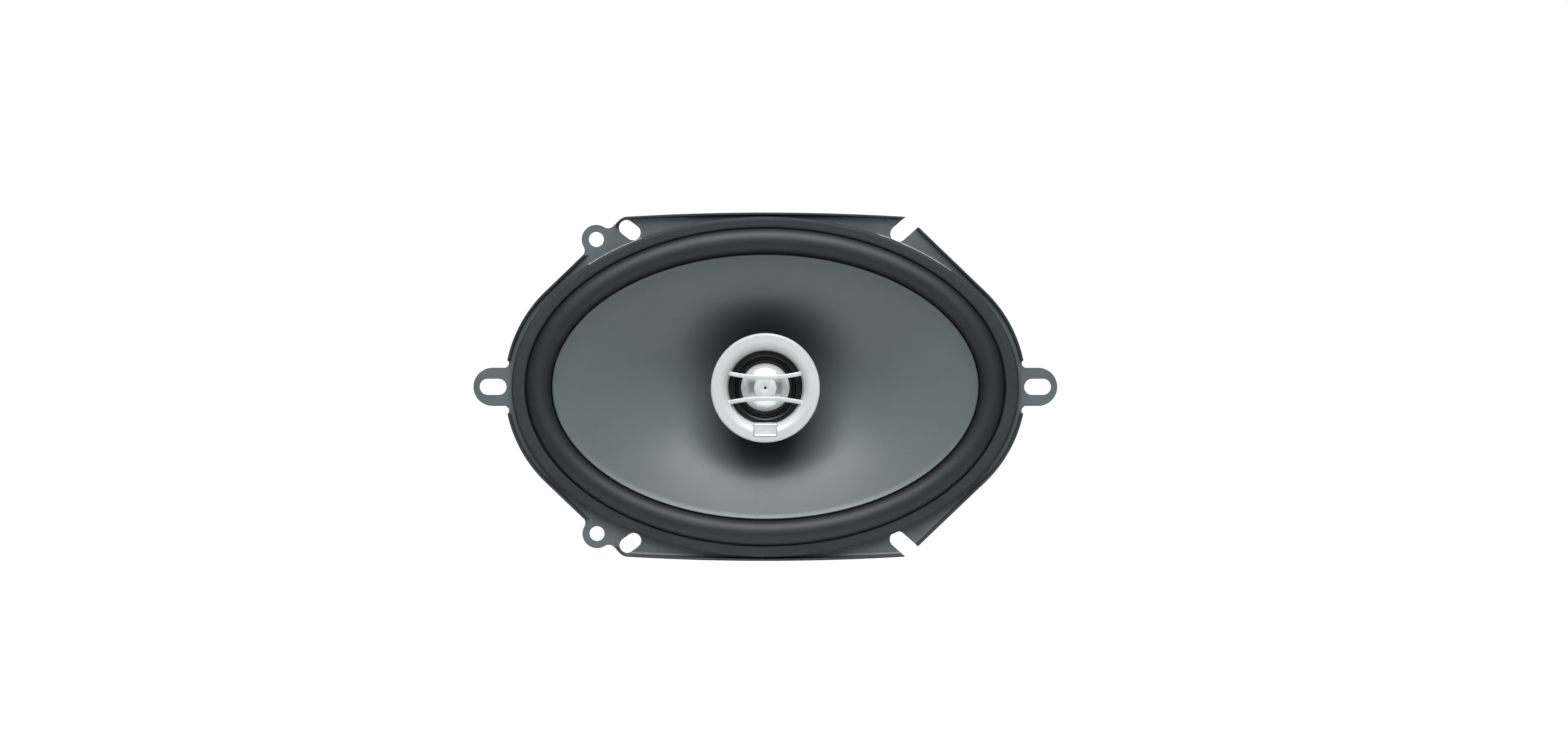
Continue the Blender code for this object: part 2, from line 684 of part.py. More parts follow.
def tweeter_bezel(root, finish):
    """The flared ring with the badge's seat, and the two bars and the disc that guard the dome."""
    seat = HOUSING_TOP + GAP
    profile = [
        (BEZEL_RADIUS, seat),
        (BEZEL_RADIUS, 10.2),
        (22.1, 10.8),
        (21.5, BEZEL_FRONT),
        (20.2, 10.75),
        (18.4, 9.85),
        (17.0, 8.6),
        (15.7, 6.9),
        (BEZEL_OPENING, seat),
        (16.5, seat),
        (18.3, 8.1),
        (20.6, 8.9),
        (21.3, seat),
    ]
    bezel = place("tweeter_bezel", turned_mesh("tweeter_bezel", profile), finish, root)
    for side, word in ((-1, "lower"), (1, "upper")):
        name = f"{word}_guard_bar"
        bar = prisms_mesh(name, [(guard_bar_outline(side), GUARD_BACK, GUARD_FRONT)])
        combine(bezel, tool(name, bar, root), "UNION")
    disc_outline = circle((0, 0), GUARD_DISC_RADIUS, 24)
    disc = prisms_mesh("guard_disc", [(disc_outline, GUARD_BACK + 0.1, GUARD_FRONT - 0.1)])
    combine(bezel, tool("guard_disc", disc, root), "UNION")
    seat_block = prisms_mesh("badge_seat", [(badge_outline(0.2), 7.4, BADGE_BACK + GAP)])
    combine(bezel, tool("badge_seat", seat_block, root), "UNION")
    pinhole = (circle((0, 0), GUARD_PINHOLE, 8), GUARD_BACK - 1, GUARD_FRONT + 1)
    pocket = (badge_outline(GAP), BADGE_BACK - GAP, BEZEL_FRONT + 2)
    cuts = prisms_mesh("bezel_cuts", [pinhole, pocket])
    combine(bezel, tool("bezel_cuts", cuts, root), "DIFFERENCE")


def bezel_badge(root, finish):
    """A blank plaque with a raised border."""
    plate = prisms_mesh("bezel_badge", [(badge_outline(), BADGE_BACK, BADGE_FRONT)])
    badge = place("bezel_badge", plate, finish, root)
    field = (badge_outline(-BADGE_BORDER), BADGE_FRONT - BADGE_RECESS, BADGE_FRONT + 1)
    combine(badge, tool("badge_field", prisms_mesh("badge_field", [field]), root), "DIFFERENCE")


def dome_point(share, drop=0.0):
    """A point of the dome's section from its rim, at share 0, to its top, at 1."""
    radius = (DOME_RADIUS**2 + DOME_HEIGHT**2) / (2 * DOME_HEIGHT)
    widest = math.asin(DOME_RADIUS / radius)
    lean = widest * (1 - share)
    height = DOME_BASE + DOME_HEIGHT - radius
    return (radius - drop) * math.sin(lean), height + (radius - drop) * math.cos(lean)


def tweeter_moving_parts(moving, root, dome_finish, coil_finish, roll_finish):
    shares = (0.0, 0.25, 0.5, 0.75, 1.0)
    outside = [dome_point(share) for share in shares]
    inside = [dome_point(share, DOME_SHEET) for share in shares]
    dome = [(radius if share < 1 else 0, z) for share, (radius, z) in zip(shares, outside)]
    hollow = [(radius if share < 1 else 0, z) for share, (radius, z) in zip(shares, inside)]
    shell = hollow[::-1] + dome
    place("tweeter_dome", turned_mesh("tweeter_dome", shell), dome_finish, moving)
    tube("tweeter_voice_coil", 9.5, 10.2, -1.5, DOME_BASE - 0.5, coil_finish, moving)
    half = 0.18
    middle = [(10.1, 3.3), (10.5, 3.3), (11.0, 3.9), (11.7, 3.9), (12.2, 3.3), (14.0, 3.3)]
    profile = [(radius, z + half) for radius, z in middle]
    profile += [(radius, z - half) for radius, z in reversed(middle)]
    place("tweeter_suspension", turned_mesh("tweeter_suspension", profile, 24), roll_finish, root)


def tweeter_motor(root, steel, magnet, plastic):
    cup = [
        (0, -6.2),
        (11.3, -6.2),
        (11.8, -5.7),
        (11.8, 2.2),
        (10.6, 2.2),
        (10.6, -4.7),
        (0, -4.7),
    ]
    place("tweeter_yoke_cup", turned_mesh("tweeter_yoke_cup", cup), steel, root)
    disc = [(0, -4.4), (8.8, -4.4), (8.8, -0.9), (0, -0.9)]
    place("tweeter_magnet", turned_mesh("tweeter_magnet", disc), magnet, root)
    plate = [(0, -0.6), (9.1, -0.6), (9.1, 1.4), (0, 1.4)]
    place("tweeter_pole_plate", turned_mesh("tweeter_pole_plate", plate), steel, root)
    tube("tweeter_support_ring", 12.2, 20.5, 1.5, 2.8, plastic, root)
    face = [(20.6, 3.8), (20.6, 4.9), (13.2, 4.9), (12.5, 4.5), (12.5, 3.8)]
    place("tweeter_faceplate", turned_mesh("tweeter_faceplate", face), plastic, root)


def terminal_board(seat, fibre, tin):
    """The fibre board with its two rivets; returns the height of its upper face."""
    low = GAP
    top = low + BOARD[3]
    board = prisms_mesh("terminal_board", [(board_outline(), low, top)])
    body = place("terminal_board", board, fibre, seat)
    holes = board_holes_mesh("board_holes", low - 1, top + 1)
    combine(body, tool("board_holes", holes, seat), "DIFFERENCE")
    for number, x in enumerate(BOARD_RIVETS, start=1):
        name = f"board_rivet_{number}"
        mesh = rivet_mesh(name, 1.1, 2.2, -2.3, top + GAP, top + 1.3)
        place(name, mesh, tin, seat).location = (x * MM, 0, 0)
    return top


def terminal_tab(name, side, width, low, seat, tin):
    """A bent tab with a hole in its blade, standing on the board at this height."""
    inner, outer = TAB_FOOT
    near, far = side * TAB_CENTRE - width / 2, side * TAB_CENTRE + width / 2
    foot = prisms_mesh(name, [(rectangle((inner, near), (outer, far)), low, low + TAB_SHEET)])
    tab = place(name, foot, tin, seat)
    section = rectangle((outer - TAB_SHEET, near), (outer, far))
    blade = prisms_mesh(f"{name}_blade", [(section, low + 0.2, low + TAB_HEIGHT)])
    combine(tab, tool(f"{name}_blade", blade, seat), "UNION")
    pin = [(0, -2), (TAB_EYE_RADIUS, -2), (TAB_EYE_RADIUS, 2), (0, 2)]
    eye = tool(f"{name}_eye", turned_mesh(f"{name}_eye", pin, 10), seat)
    middle = outer - TAB_SHEET / 2
    eye.location = (middle * MM, side * TAB_CENTRE * MM, (low + TAB_EYE_HEIGHT) * MM)
    eye.rotation_euler = (0, math.pi / 2, 0)
    combine(tab, eye, "DIFFERENCE")


def crossover_capacitor(low, seat, finish):
    """A can that lies across the board at this height."""
    radius, end = CAPACITOR_RADIUS, CAPACITOR_HALF_LENGTH
    chamfer = 0.6
    can = [
        (0, -end),
        (radius - chamfer, -end),
        (radius, chamfer - end),
        (radius, end - chamfer),
        (radius - chamfer, end),
        (0, end),
    ]
    mesh = turned_mesh("crossover_capacitor", can, 20)
    capacitor = place("crossover_capacitor", mesh, finish, seat)
    capacitor.location = (CAPACITOR_PLACE * MM, 0, (low + radius) * MM)
    capacitor.rotation_euler = (math.pi / 2, 0, 0)


def terminal_parts(seat, finishes):
    low = terminal_board(seat, finishes["fibre"], finishes["tin"]) + GAP
    for name, side, width in TAB_WIDTHS:
        terminal_tab(name, side, width, low, seat, finishes["tin"])
    crossover_capacitor(low, seat, finishes["film"])


def rounded_route(points, radius, steps=3):
    """A route with its corners rounded."""
    route = [Vector(points[0])]
    for before, corner, after in zip(points, points[1:], points[2:]):
        corner = Vector(corner)
        back, ahead = Vector(before) - corner, Vector(after) - corner
        start = corner + back.normalized() * min(radius, back.length / 2)
        end = corner + ahead.normalized() * min(radius, ahead.length / 2)
        for k in range(steps + 1):
            t = k / steps
            route.append(start * (1 - t) ** 2 + corner * (2 * t * (1 - t)) + end * t**2)
    return route + [Vector(points[-1])]


def flowing_route(points, steps=3):
    """A smooth curve through every point, as a Catmull-Rom spline."""
    ends = [2 * Vector(points[0]) - Vector(points[1]), 2 * Vector(points[-1]) - Vector(points[-2])]
    knots = [ends[0], *map(Vector, points), ends[1]]
    route = []
    for a, b, c, d in zip(knots, knots[1:], knots[2:], knots[3:]):
        for k in range(steps):
            t = k / steps
            bend = (2 * a - 5 * b + 4 * c - d) * t**2
            twist = (3 * b - a - 3 * c + d) * t**3
            route.append(b + ((c - a) * t + bend + twist) / 2)
    return route + [knots[-2]]


def wire(name, route, radius, finish, parent):
    curve = bpy.data.curves.new(name, "CURVE")
    curve.dimensions = "3D"
    spline = curve.splines.new("POLY")
    spline.points.add(len(route) - 1)
    for knot, spot in zip(spline.points, route):
        knot.co = (*(spot * MM), 1)
    curve.bevel_depth = radius * MM
    curve.bevel_resolution = 1
    curve.use_fill_caps = True
    place(name, curve, finish, parent)


def wires(root, finishes):
    """The tweeter's two wires, fixed all along, and the two woven leads that flex with the cone."""
    for word, side in (("positive", 1), ("negative", -1)):
        y = side * WIRE_BESIDE
        route = [
            (11.9, side * 5.9, 0.6),
            (11.6, side * 5.6, -7.2),
            (6.0, side * 2.8, -7.4),
            (0.0, y, -7.4),
            (0.0, y, WIRE_BEHIND),
            (WIRE_OUTSIDE, y, WIRE_BEHIND),
            (WIRE_OUTSIDE, y, -36.0),
            (47.0, side * 2.4, -33.6),
            (51.0, side * 3.4, -32.9),
        ]
        wire(f"tweeter_wire_{word}", rounded_route(route, 1.6), WIRE_RADIUS, finishes[word], root)
        lead = [
            (67.6, side * 10.6, -25.4),
            (65.0, side * 13.6, -26.6),
            (60.0, side * 17.0, -25.9),
            (54.0, side * 18.0, -24.0),
            (46.0, side * 16.0, -21.5),
            (34.0, side * 12.0, -20.8),
            (23.5, side * 8.2, -23.6),
            (14.4, side * 4.8, -26.6),
        ]
        wire(f"tinsel_lead_{word}", flowing_route(lead), LEAD_RADIUS, finishes["braid"], root)


def main():
    clear_scene()
    steel = material("frame_paint", (88, 93, 96), 0.5, 0.3)
    finishes = {
        "foam": material("gasket_rubber", (52, 58, 60), 0.7),
        "rubber": material("surround_rubber", (55, 59, 62), 0.55),
        "cone": material("cone_polypropylene", (94, 102, 104), 0.45),
        "former": material("former_film", (176, 126, 60), 0.4),
        "copper": material("coil_copper", (184, 115, 76), 0.35, 1.0),
        "cloth": material("spider_cloth", (196, 160, 88), 0.9),
        "plated": material("zinc_plating", (176, 180, 184), 0.35, 1.0),
        "ferrite": material("ferrite", (52, 52, 55), 0.65),
        "black": material("black_plastic", (26, 28, 30), 0.5),
        "silver": material("silver_plastic", (226, 228, 230), 0.35, 0.6),
        "badge": material("badge_plastic", (200, 203, 206), 0.4, 0.5),
        "dome": material("dome_metal", (200, 203, 206), 0.25, 1.0),
        "neodymium": material("magnet_plating", (150, 152, 156), 0.3, 1.0),
        "fibre": material("board_fibre", (112, 74, 44), 0.8),
        "tin": material("terminal_tin", (200, 196, 182), 0.35, 1.0),
        "film": material("capacitor_sleeve", (34, 60, 120), 0.4),
        "braid": material("woven_copper", (190, 128, 92), 0.5, 0.8),
        "positive": material("red_insulation", (150, 34, 30), 0.5),
        "negative": material("black_insulation", (22, 22, 24), 0.5),
    }
    root = axes_empty("speaker_axes", rotation=(math.pi / 2, 0, 0))
    cone_slide = axes_empty("cone_slide", root)
    dome_slide = axes_empty("dome_slide", root)
    seat = axes_empty("terminal_seat", root, BOARD_SEAT, (math.pi, -BOARD_SLOPE, 0))

    frame = basket_frame(root, steel)
    terminal_pad(frame, seat)
    front_gasket(root, finishes["foam"])
    surround(root, finishes["rubber"])
    woofer_cone(cone_slide, finishes["cone"])
    tube("voice_coil_former", *FORMER, finishes["former"], cone_slide)
    tube("voice_coil_winding", *WINDING, finishes["copper"], cone_slide)
    spider(root, finishes["cloth"])
    top_plate(root, finishes["plated"])
    chamfered_ring("ferrite_magnet", FERRITE, 1.2, finishes["ferrite"], root)
    pole_back_plate(root, finishes["plated"])
    frame_rivets(root, finishes["plated"])
    tweeter_post(root, finishes["plated"])
    post_nut(root, finishes["plated"])
    tweeter_housing(root, finishes["black"])
    tweeter_bezel(root, finishes["silver"])
    bezel_badge(root, finishes["badge"])
    tweeter_moving_parts(dome_slide, root, finishes["dome"], finishes["copper"], finishes["black"])
    tweeter_motor(root, finishes["plated"], finishes["neodymium"], finishes["black"])
    terminal_parts(seat, finishes)
    wires(root, finishes)


main()
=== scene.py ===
"""Looks of the oval coaxial car speaker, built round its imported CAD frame.

Shapes are worked out in the speaker's own axes in millimetres, x along the long side, y along the
short side and z forward, and world() turns them into the frame's metres.
"""

import math
from types import SimpleNamespace

import bmesh
import bpy
import numpy as np
from mathutils import Euler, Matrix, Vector

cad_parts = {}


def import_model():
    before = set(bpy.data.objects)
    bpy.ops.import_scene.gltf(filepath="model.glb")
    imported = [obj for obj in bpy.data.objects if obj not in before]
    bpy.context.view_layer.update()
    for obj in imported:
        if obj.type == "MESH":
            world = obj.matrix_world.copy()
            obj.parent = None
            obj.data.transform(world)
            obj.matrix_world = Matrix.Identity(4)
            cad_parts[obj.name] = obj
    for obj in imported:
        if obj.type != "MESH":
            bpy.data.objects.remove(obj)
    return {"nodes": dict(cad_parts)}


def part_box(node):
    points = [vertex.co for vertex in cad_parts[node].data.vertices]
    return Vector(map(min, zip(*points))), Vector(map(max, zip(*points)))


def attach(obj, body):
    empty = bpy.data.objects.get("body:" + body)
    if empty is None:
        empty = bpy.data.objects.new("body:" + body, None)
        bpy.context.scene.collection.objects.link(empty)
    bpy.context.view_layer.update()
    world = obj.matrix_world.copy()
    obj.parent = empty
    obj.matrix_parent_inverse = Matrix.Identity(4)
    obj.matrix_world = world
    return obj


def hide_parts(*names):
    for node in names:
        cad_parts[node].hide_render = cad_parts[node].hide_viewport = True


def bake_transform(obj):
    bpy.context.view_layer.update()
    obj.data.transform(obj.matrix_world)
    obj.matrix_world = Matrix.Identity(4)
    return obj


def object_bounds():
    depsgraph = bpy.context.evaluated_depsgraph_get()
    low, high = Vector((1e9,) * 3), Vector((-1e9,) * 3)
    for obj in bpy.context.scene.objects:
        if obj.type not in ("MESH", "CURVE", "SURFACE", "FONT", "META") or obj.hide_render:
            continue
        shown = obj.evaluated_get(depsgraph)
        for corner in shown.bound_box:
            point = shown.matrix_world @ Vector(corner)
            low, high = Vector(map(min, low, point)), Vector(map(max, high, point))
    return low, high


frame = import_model()
cad_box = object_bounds()

MM = 0.001

# Camera and studio
CAMERA_DISTANCE = 1.5
CAMERA_ELEVATION = math.radians(3.0)
LENS = 83.1
SHIFT = (0.0119, 0.0045)
FLOOR_DROP = 0.18  # of the floor below the speaker
FLOOR_RADIUS = 0.6
WORLD_STRENGTH = 0.082
BACKDROP_STRENGTH = 1.05
LIGHTS = (
    ("key", (0, -0.75, 1.25), (1.5, 0.8), 29),
    ("front", (0, -1.35, 0.95), (1.3, 0.35), 7),
    ("fill", (0, -2.2, 0.4), (2.2, 1.0), 3.0),
    ("back", (0.5, 1.6, 1.3), (1.6, 1.2), 14),
)

# Painted shade: where a finish's tone is least and where it is full, in metres, and its least share
FLANGE_PAINTED_SHADE = (-0.0017, -0.00108, 0.3)  # painted shade by height, darkening the turned edge's upper part where it lies in shadow
ROLL_PAINTED_SHADE = (-0.0026, -0.0066, 0.05)  # painted shade by height, darkening the half roll's sides and the creases beside it
CONE_PAINTED_SHADOW = (0.021, 0.039, 0.6)  # painted shadow by distance from the axis, on the cone round and behind the tweeter
LACQUER_RADIUS = 9.7  # of the dome, where its metal is all under lacquer
METAL_RADIUS = 6.6  # of the dome, where its metal is bare

ROUND = 144  # segments round a turned piece
OVAL = 224  # segments round an oval piece


def linear(channel):
    """An sRGB channel from 0 to 255 as the linear value that a shader takes."""
    value = channel / 255
    return value / 12.92 if value <= 0.04045 else ((value + 0.055) / 1.055) ** 2.4


def colour(red, green, blue):
    return (linear(red), linear(green), linear(blue), 1.0)


def world(point):
    """A point of the speaker's own axes, in millimetres, as a point of the frame, in metres."""
    return (point[0] * MM, -point[2] * MM, point[1] * MM)


def extent(node):
    """A CAD node's box in the speaker's own axes: half sizes, centre, rear and front."""
    low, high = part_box(node)
    return SimpleNamespace(
        x=(high.x - low.x) / 2 / MM,
        y=(high.z - low.z) / 2 / MM,
        cx=(high.x + low.x) / 2 / MM,
        cy=(high.z + low.z) / 2 / MM,
        rear=-high.y / MM,
        front=-low.y / MM,
    )


# ---- camera, light and floor


def aimed(name, data, place, target):
    """A camera or a light that points from its place at its target."""
    made = new_object(name, data)
    made.location = place
    made.rotation_euler = (target - place).to_track_quat("-Z", "Y").to_euler()
    return made


def set_camera():
    low, high = (Vector(corner) for corner in cad_box)
    centre = (low + high) / 2
    away = Vector((0, -math.cos(CAMERA_ELEVATION), math.sin(CAMERA_ELEVATION)))
    camera = bpy.data.cameras.new("camera")
    camera.lens = LENS
    camera.shift_x, camera.shift_y = SHIFT
    camera.clip_end = 50
    bpy.context.scene.camera = aimed("camera", camera, centre + away * CAMERA_DISTANCE, centre)


def area_light(name, place, size, power):
    """A soft rectangular light that shines at the speaker."""
    light = bpy.data.lights.new(name, "AREA")
    light.shape = "RECTANGLE"
    light.size, light.size_y = size
    light.energy = power
    aimed(name, light, Vector(place), Vector((0, 0, 0)))


def studio():
    scene = bpy.context.scene
    scene.view_settings.view_transform = "Standard"
    sky = bpy.data.worlds.new("studio")
    scene.world = sky
    sky.use_nodes = True
    tree = sky.node_tree
    lit = tree.nodes["Background"]
    lit.inputs["Color"].default_value = (1, 1, 1, 1)
    lit.inputs["Strength"].default_value = WORLD_STRENGTH
    seen = node(tree, "ShaderNodeBackground", Color=(1, 1, 1, 1), Strength=BACKDROP_STRENGTH)
    path = node(tree, "ShaderNodeLightPath")
    mix = node(tree, "ShaderNodeMixShader", Fac=path.outputs["Is Camera Ray"])
    tree.links.new(lit.outputs[0], mix.inputs[1])
    tree.links.new(seen.outputs[0], mix.inputs[2])
    tree.links.new(mix.outputs[0], tree.nodes["World Output"].inputs["Surface"])
    for light in LIGHTS:
        area_light(*light)


def studio_floor():
    """A round pale paper floor whose edge fades out into the white background."""
    floor_z = cad_box[0][2] - FLOOR_DROP
    points = [(x, y, floor_z) for x, y in circle((0, 0), FLOOR_RADIUS, 96)]
    mesh = bpy.data.meshes.new("floor")
    mesh.from_pydata(points, [], [tuple(range(len(points)))])
    made = new_object("floor", mesh)
    pale, tree, shader, where = blank_material("floor_paper")
    grain = noise(tree, where, 400.0, 4.0)
    tone = ramp(tree, grain, (0.3, (0.92, 0.92, 0.92, 1)), (0.7, (0.95, 0.95, 0.95, 1)))
    tree.links.new(tone, shader.inputs["Base Color"])
    shader.inputs["Roughness"].default_value = 0.9
    shader.inputs["Specular IOR Level"].default_value = 0.2
    fade = fading(tree, length(tree, where, "XY"), 0.5 * FLOOR_RADIUS, FLOOR_RADIUS, 0.0)
    clear = node(tree, "ShaderNodeBsdfTransparent")
    mix = node(tree, "ShaderNodeMixShader", Fac=fade)
    tree.links.new(shader.outputs[0], mix.inputs[1])
    tree.links.new(clear.outputs[0], mix.inputs[2])
    tree.links.new(mix.outputs[0], tree.nodes["Material Output"].inputs["Surface"])
    mesh.materials.append(pale)


# ---- materials


def node(tree, kind, settings=None, **inputs):
    """A new node; an input takes a value, or the output socket that it is linked to."""
    made = tree.nodes.new(kind)
    for key, value in (settings or {}).items():
        setattr(made, key, value)
    for key, value in inputs.items():
        socket = made.inputs[key.replace("_", " ")]
        if isinstance(value, bpy.types.NodeSocket):
            tree.links.new(value, socket)
        else:
            socket.default_value = value
    return made


def blank_material(name):
    """A new material with its node tree, its shader and the object's own coordinates."""
    made = bpy.data.materials.new(name)
    made.use_nodes = True
    tree = made.node_tree
    where = node(tree, "ShaderNodeTexCoord").outputs["Object"]
    return made, tree, tree.nodes["Principled BSDF"], where


def ramp(tree, value, *stops):
    made = tree.nodes.new("ShaderNodeValToRGB")
    tree.links.new(value, made.inputs["Fac"])
    elements = made.color_ramp.elements
    while len(elements) < len(stops):
        elements.new(0.5)
    for element, (position, tone) in zip(elements, stops):
        element.position = position
        element.color = tone
    return made.outputs["Color"]


def spread(tree, value, low, high):
    """A value from 0 to 1 as one from low to high."""
    made = node(tree, "ShaderNodeMapRange", Value=value, To_Min=low, To_Max=high)
    return made.outputs["Result"]


def maths(tree, operation, first, second=0.0):
    made = tree.nodes.new("ShaderNodeMath")
    made.operation = operation
    for socket, value in zip(made.inputs, (first, second)):
        if isinstance(value, bpy.types.NodeSocket):
            tree.links.new(value, socket)
        else:
            socket.default_value = value
    return made.outputs[0]


def noise(tree, where, scale, detail, roughness=0.5, distortion=0.0):
    """Noise from 0 to 1, whose scale is for each metre."""
    made = node(tree, "ShaderNodeTexNoise", Vector=where, Scale=scale, Detail=detail)
    made.inputs["Roughness"].default_value = roughness
    made.inputs["Distortion"].default_value = distortion
    return made.outputs["Fac"]


def blended(tree, first, weight, second, second_weight):
    """The sum of two values, each times its own weight."""
    first = maths(tree, "MULTIPLY", first, weight)
    return maths(tree, "ADD", first, maths(tree, "MULTIPLY", second, second_weight))


def surface(tree, shader, tone, rough, height, depth, metal):
    """Links a finish: its tone, its roughness and a bump from 0 to depth, in millimetres."""
    normal = node(tree, "ShaderNodeBump", Height=height, Distance=depth * MM).outputs["Normal"]
    tree.links.new(tone, shader.inputs["Base Color"])
    tree.links.new(rough, shader.inputs["Roughness"])
    tree.links.new(normal, shader.inputs["Normal"])
    shader.inputs["Metallic"].default_value = metal


def fading(tree, value, start, end, least):
    """A soft step from least, at start, to 1, at end."""
    soft = {"interpolation_type": "SMOOTHSTEP"}
    step = node(tree, "ShaderNodeMapRange", soft, Value=value, From_Min=start, From_Max=end, To_Min=least)
    return step.outputs["Result"]


def length(tree, where, axes="XZ"):
    """The distance from the axis that stands across these two, in metres."""
    parts = node(tree, "ShaderNodeSeparateXYZ", Vector=where).outputs
    flat = node(tree, "ShaderNodeCombineXYZ", X=parts[axes[0]], Y=parts[axes[1]])
    made = node(tree, "ShaderNodeVectorMath", {"operation": "LENGTH"})
    tree.links.new(flat.outputs["Vector"], made.inputs[0])
    return made.outputs["Value"]


def backward(tree, where):
    """The distance behind the flange's rear face, in metres."""
    return node(tree, "ShaderNodeSeparateXYZ", Vector=where).outputs["Y"]


def finish(name, dark, light, rough, patch, grain, depth, metal=0.0, shade=None, **sockets):
    """A moulded, painted or plated surface: broad patches of tone, a fine grain and faint scuffs.

    dark and light are sRGB triples, rough the lowest and highest roughness, patch and grain are
    noise scales for each metre, and depth is the grain's height in millimetres. The painted shade,
    if given, darkens the tone: it is a measure with where it starts and ends, in metres, and the
    share of the tone at its start.
    """
    made, tree, shader, where = blank_material(name)
    broad = noise(tree, where, patch, 3.0, 0.55)
    fine = noise(tree, where, grain, 5.0, 0.6)
    scuffs = noise(tree, where, patch * 6, 6.0, 0.7, 1.5)
    share = blended(tree, fine, 0.55, broad, 0.45)
    tone = ramp(tree, share, (0.36, colour(*dark)), (0.62, colour(*light)))
    # Painted shade: the tone is darkened by a measure of place, where less light falls
    if shade:
        measure, *limits = shade
        scaled = node(tree, "ShaderNodeVectorMath", {"operation": "SCALE"})
        tree.links.new(tone, scaled.inputs[0])
        tree.links.new(fading(tree, measure(tree, where), *limits), scaled.inputs["Scale"])
        tone = scaled.outputs["Vector"]
    surface(tree, shader, tone, spread(tree, scuffs, *rough), fine, depth, metal)
    for key, value in sockets.items():
        shader.inputs[key.replace("_", " ")].default_value = value
    return made


def dome_metal(name):
    """Satin silver that turns to a matt white lacquer round the dome's edge."""
    made = finish(name, (246, 248, 249), (253, 254, 254), (0.33, 0.38), 70, 3600, 0.004)
    tree = made.node_tree
    where = node(tree, "ShaderNodeTexCoord").outputs["Object"]
    bare = fading(tree, length(tree, where), LACQUER_RADIUS * MM, METAL_RADIUS * MM, 0.0)
    metal = maths(tree, "MULTIPLY", bare, 0.95)
    tree.links.new(metal, tree.nodes["Principled BSDF"].inputs["Metallic"])
    return made


def turned_steel(name, dark, light, rough, ring_width):
    """Plated steel with the fine rings that a lathe or a die leaves round the axis."""
    made, tree, shader, where = blank_material(name)
    depth = backward(tree, where)
    stretched = node(tree, "ShaderNodeCombineXYZ", X=length(tree, where), Y=depth).outputs["Vector"]
    rings = noise(tree, stretched, 1 / (ring_width * MM), 3.0)
    patch = noise(tree, where, 90.0, 6.0, 0.65)
    share = blended(tree, rings, 0.7, patch, 0.3)
    tone = ramp(tree, share, (0.36, colour(*dark)), (0.64, colour(*light)))
    surface(tree, shader, tone, spread(tree, patch, *rough), rings, 0.02, 1.0)
    return made


def wave(tree, value, period):
    """A sine of this period, in millimetres."""
    return maths(tree, "SINE", maths(tree, "MULTIPLY", value, math.tau / (period * MM)))


def woven_cloth(name, dark, light, thread):
    """Resin-dipped cloth: two sets of threads at right angles, over and under each other."""
    made, tree, shader, where = blank_material(name)
    axes = node(tree, "ShaderNodeSeparateXYZ", Vector=where).outputs
    across, along = (wave(tree, axes[axis], 2 * thread) for axis in "XZ")
    weave = maths(tree, "MULTIPLY", across, along)
    weave = maths(tree, "ADD", maths(tree, "MULTIPLY", weave, 0.5), 0.5)
    fuzz = noise(tree, where, 1800.0, 5.0, 0.6)
    share = blended(tree, weave, 0.6, fuzz, 0.4)
    tone = ramp(tree, share, (0.15, colour(*dark)), (0.8, colour(*light)))
    surface(tree, shader, tone, spread(tree, fuzz, 0.7, 0.95), share, 0.12, 0.0)
    shader.inputs["Sheen Weight"].default_value = 0.15
    return made


def wound_wire(name, dark, light, pitch):
    """Enamelled wire wound side by side round the axis."""
    made, tree, shader, where = blank_material(name)
    turn = wave(tree, backward(tree, where), pitch)
    turn = maths(tree, "ADD", maths(tree, "MULTIPLY", turn, 0.5), 0.5)
    varied = noise(tree, where, 600.0, 3.0)
    share = blended(tree, turn, 0.7, varied, 0.3)
    tone = ramp(tree, share, (0.15, colour(*dark)), (0.75, colour(*light)))
    surface(tree, shader, tone, spread(tree, varied, 0.25, 0.45), turn, pitch * 0.4, 0.9)
    return made


def braided(name, dark, light, strand):
    """Fine copper strands plaited round a core."""
    made, tree, shader, where = blank_material(name)
    edges = {"feature": "DISTANCE_TO_EDGE"}
    cells = node(tree, "ShaderNodeTexVoronoi", edges, Vector=where, Scale=1 / (strand * MM))
    lay = noise(tree, where, 900.0, 4.0)
    share = blended(tree, cells.outputs["Distance"], 1.3, lay, 0.35)
    tone = ramp(tree, share, (0.12, colour(*dark)), (0.7, colour(*light)))
    surface(tree, shader, tone, spread(tree, lay, 0.3, 0.55), share, 0.08, 0.85)
    return made


def fibre_board(name, dark, middle, light):
    """Pressed fibre board with its layers and flecks."""
    made, tree, shader, where = blank_material(name)
    stretch = node(tree, "ShaderNodeMapping", Vector=where, Scale=(220.0, 220.0, 1600.0))
    fibres = noise(tree, stretch.outputs["Vector"], 1.0, 8.0, 0.7)
    flecks = node(tree, "ShaderNodeTexVoronoi", Vector=where, Scale=1400.0).outputs["Distance"]
    share = blended(tree, fibres, 0.75, flecks, 0.25)
    tone = ramp(tree, share, (0.35, colour(*dark)), (0.52, colour(*middle)), (0.7, colour(*light)))
    surface(tree, shader, tone, spread(tree, flecks, 0.6, 0.85), fibres, 0.06, 0.0)
    return made


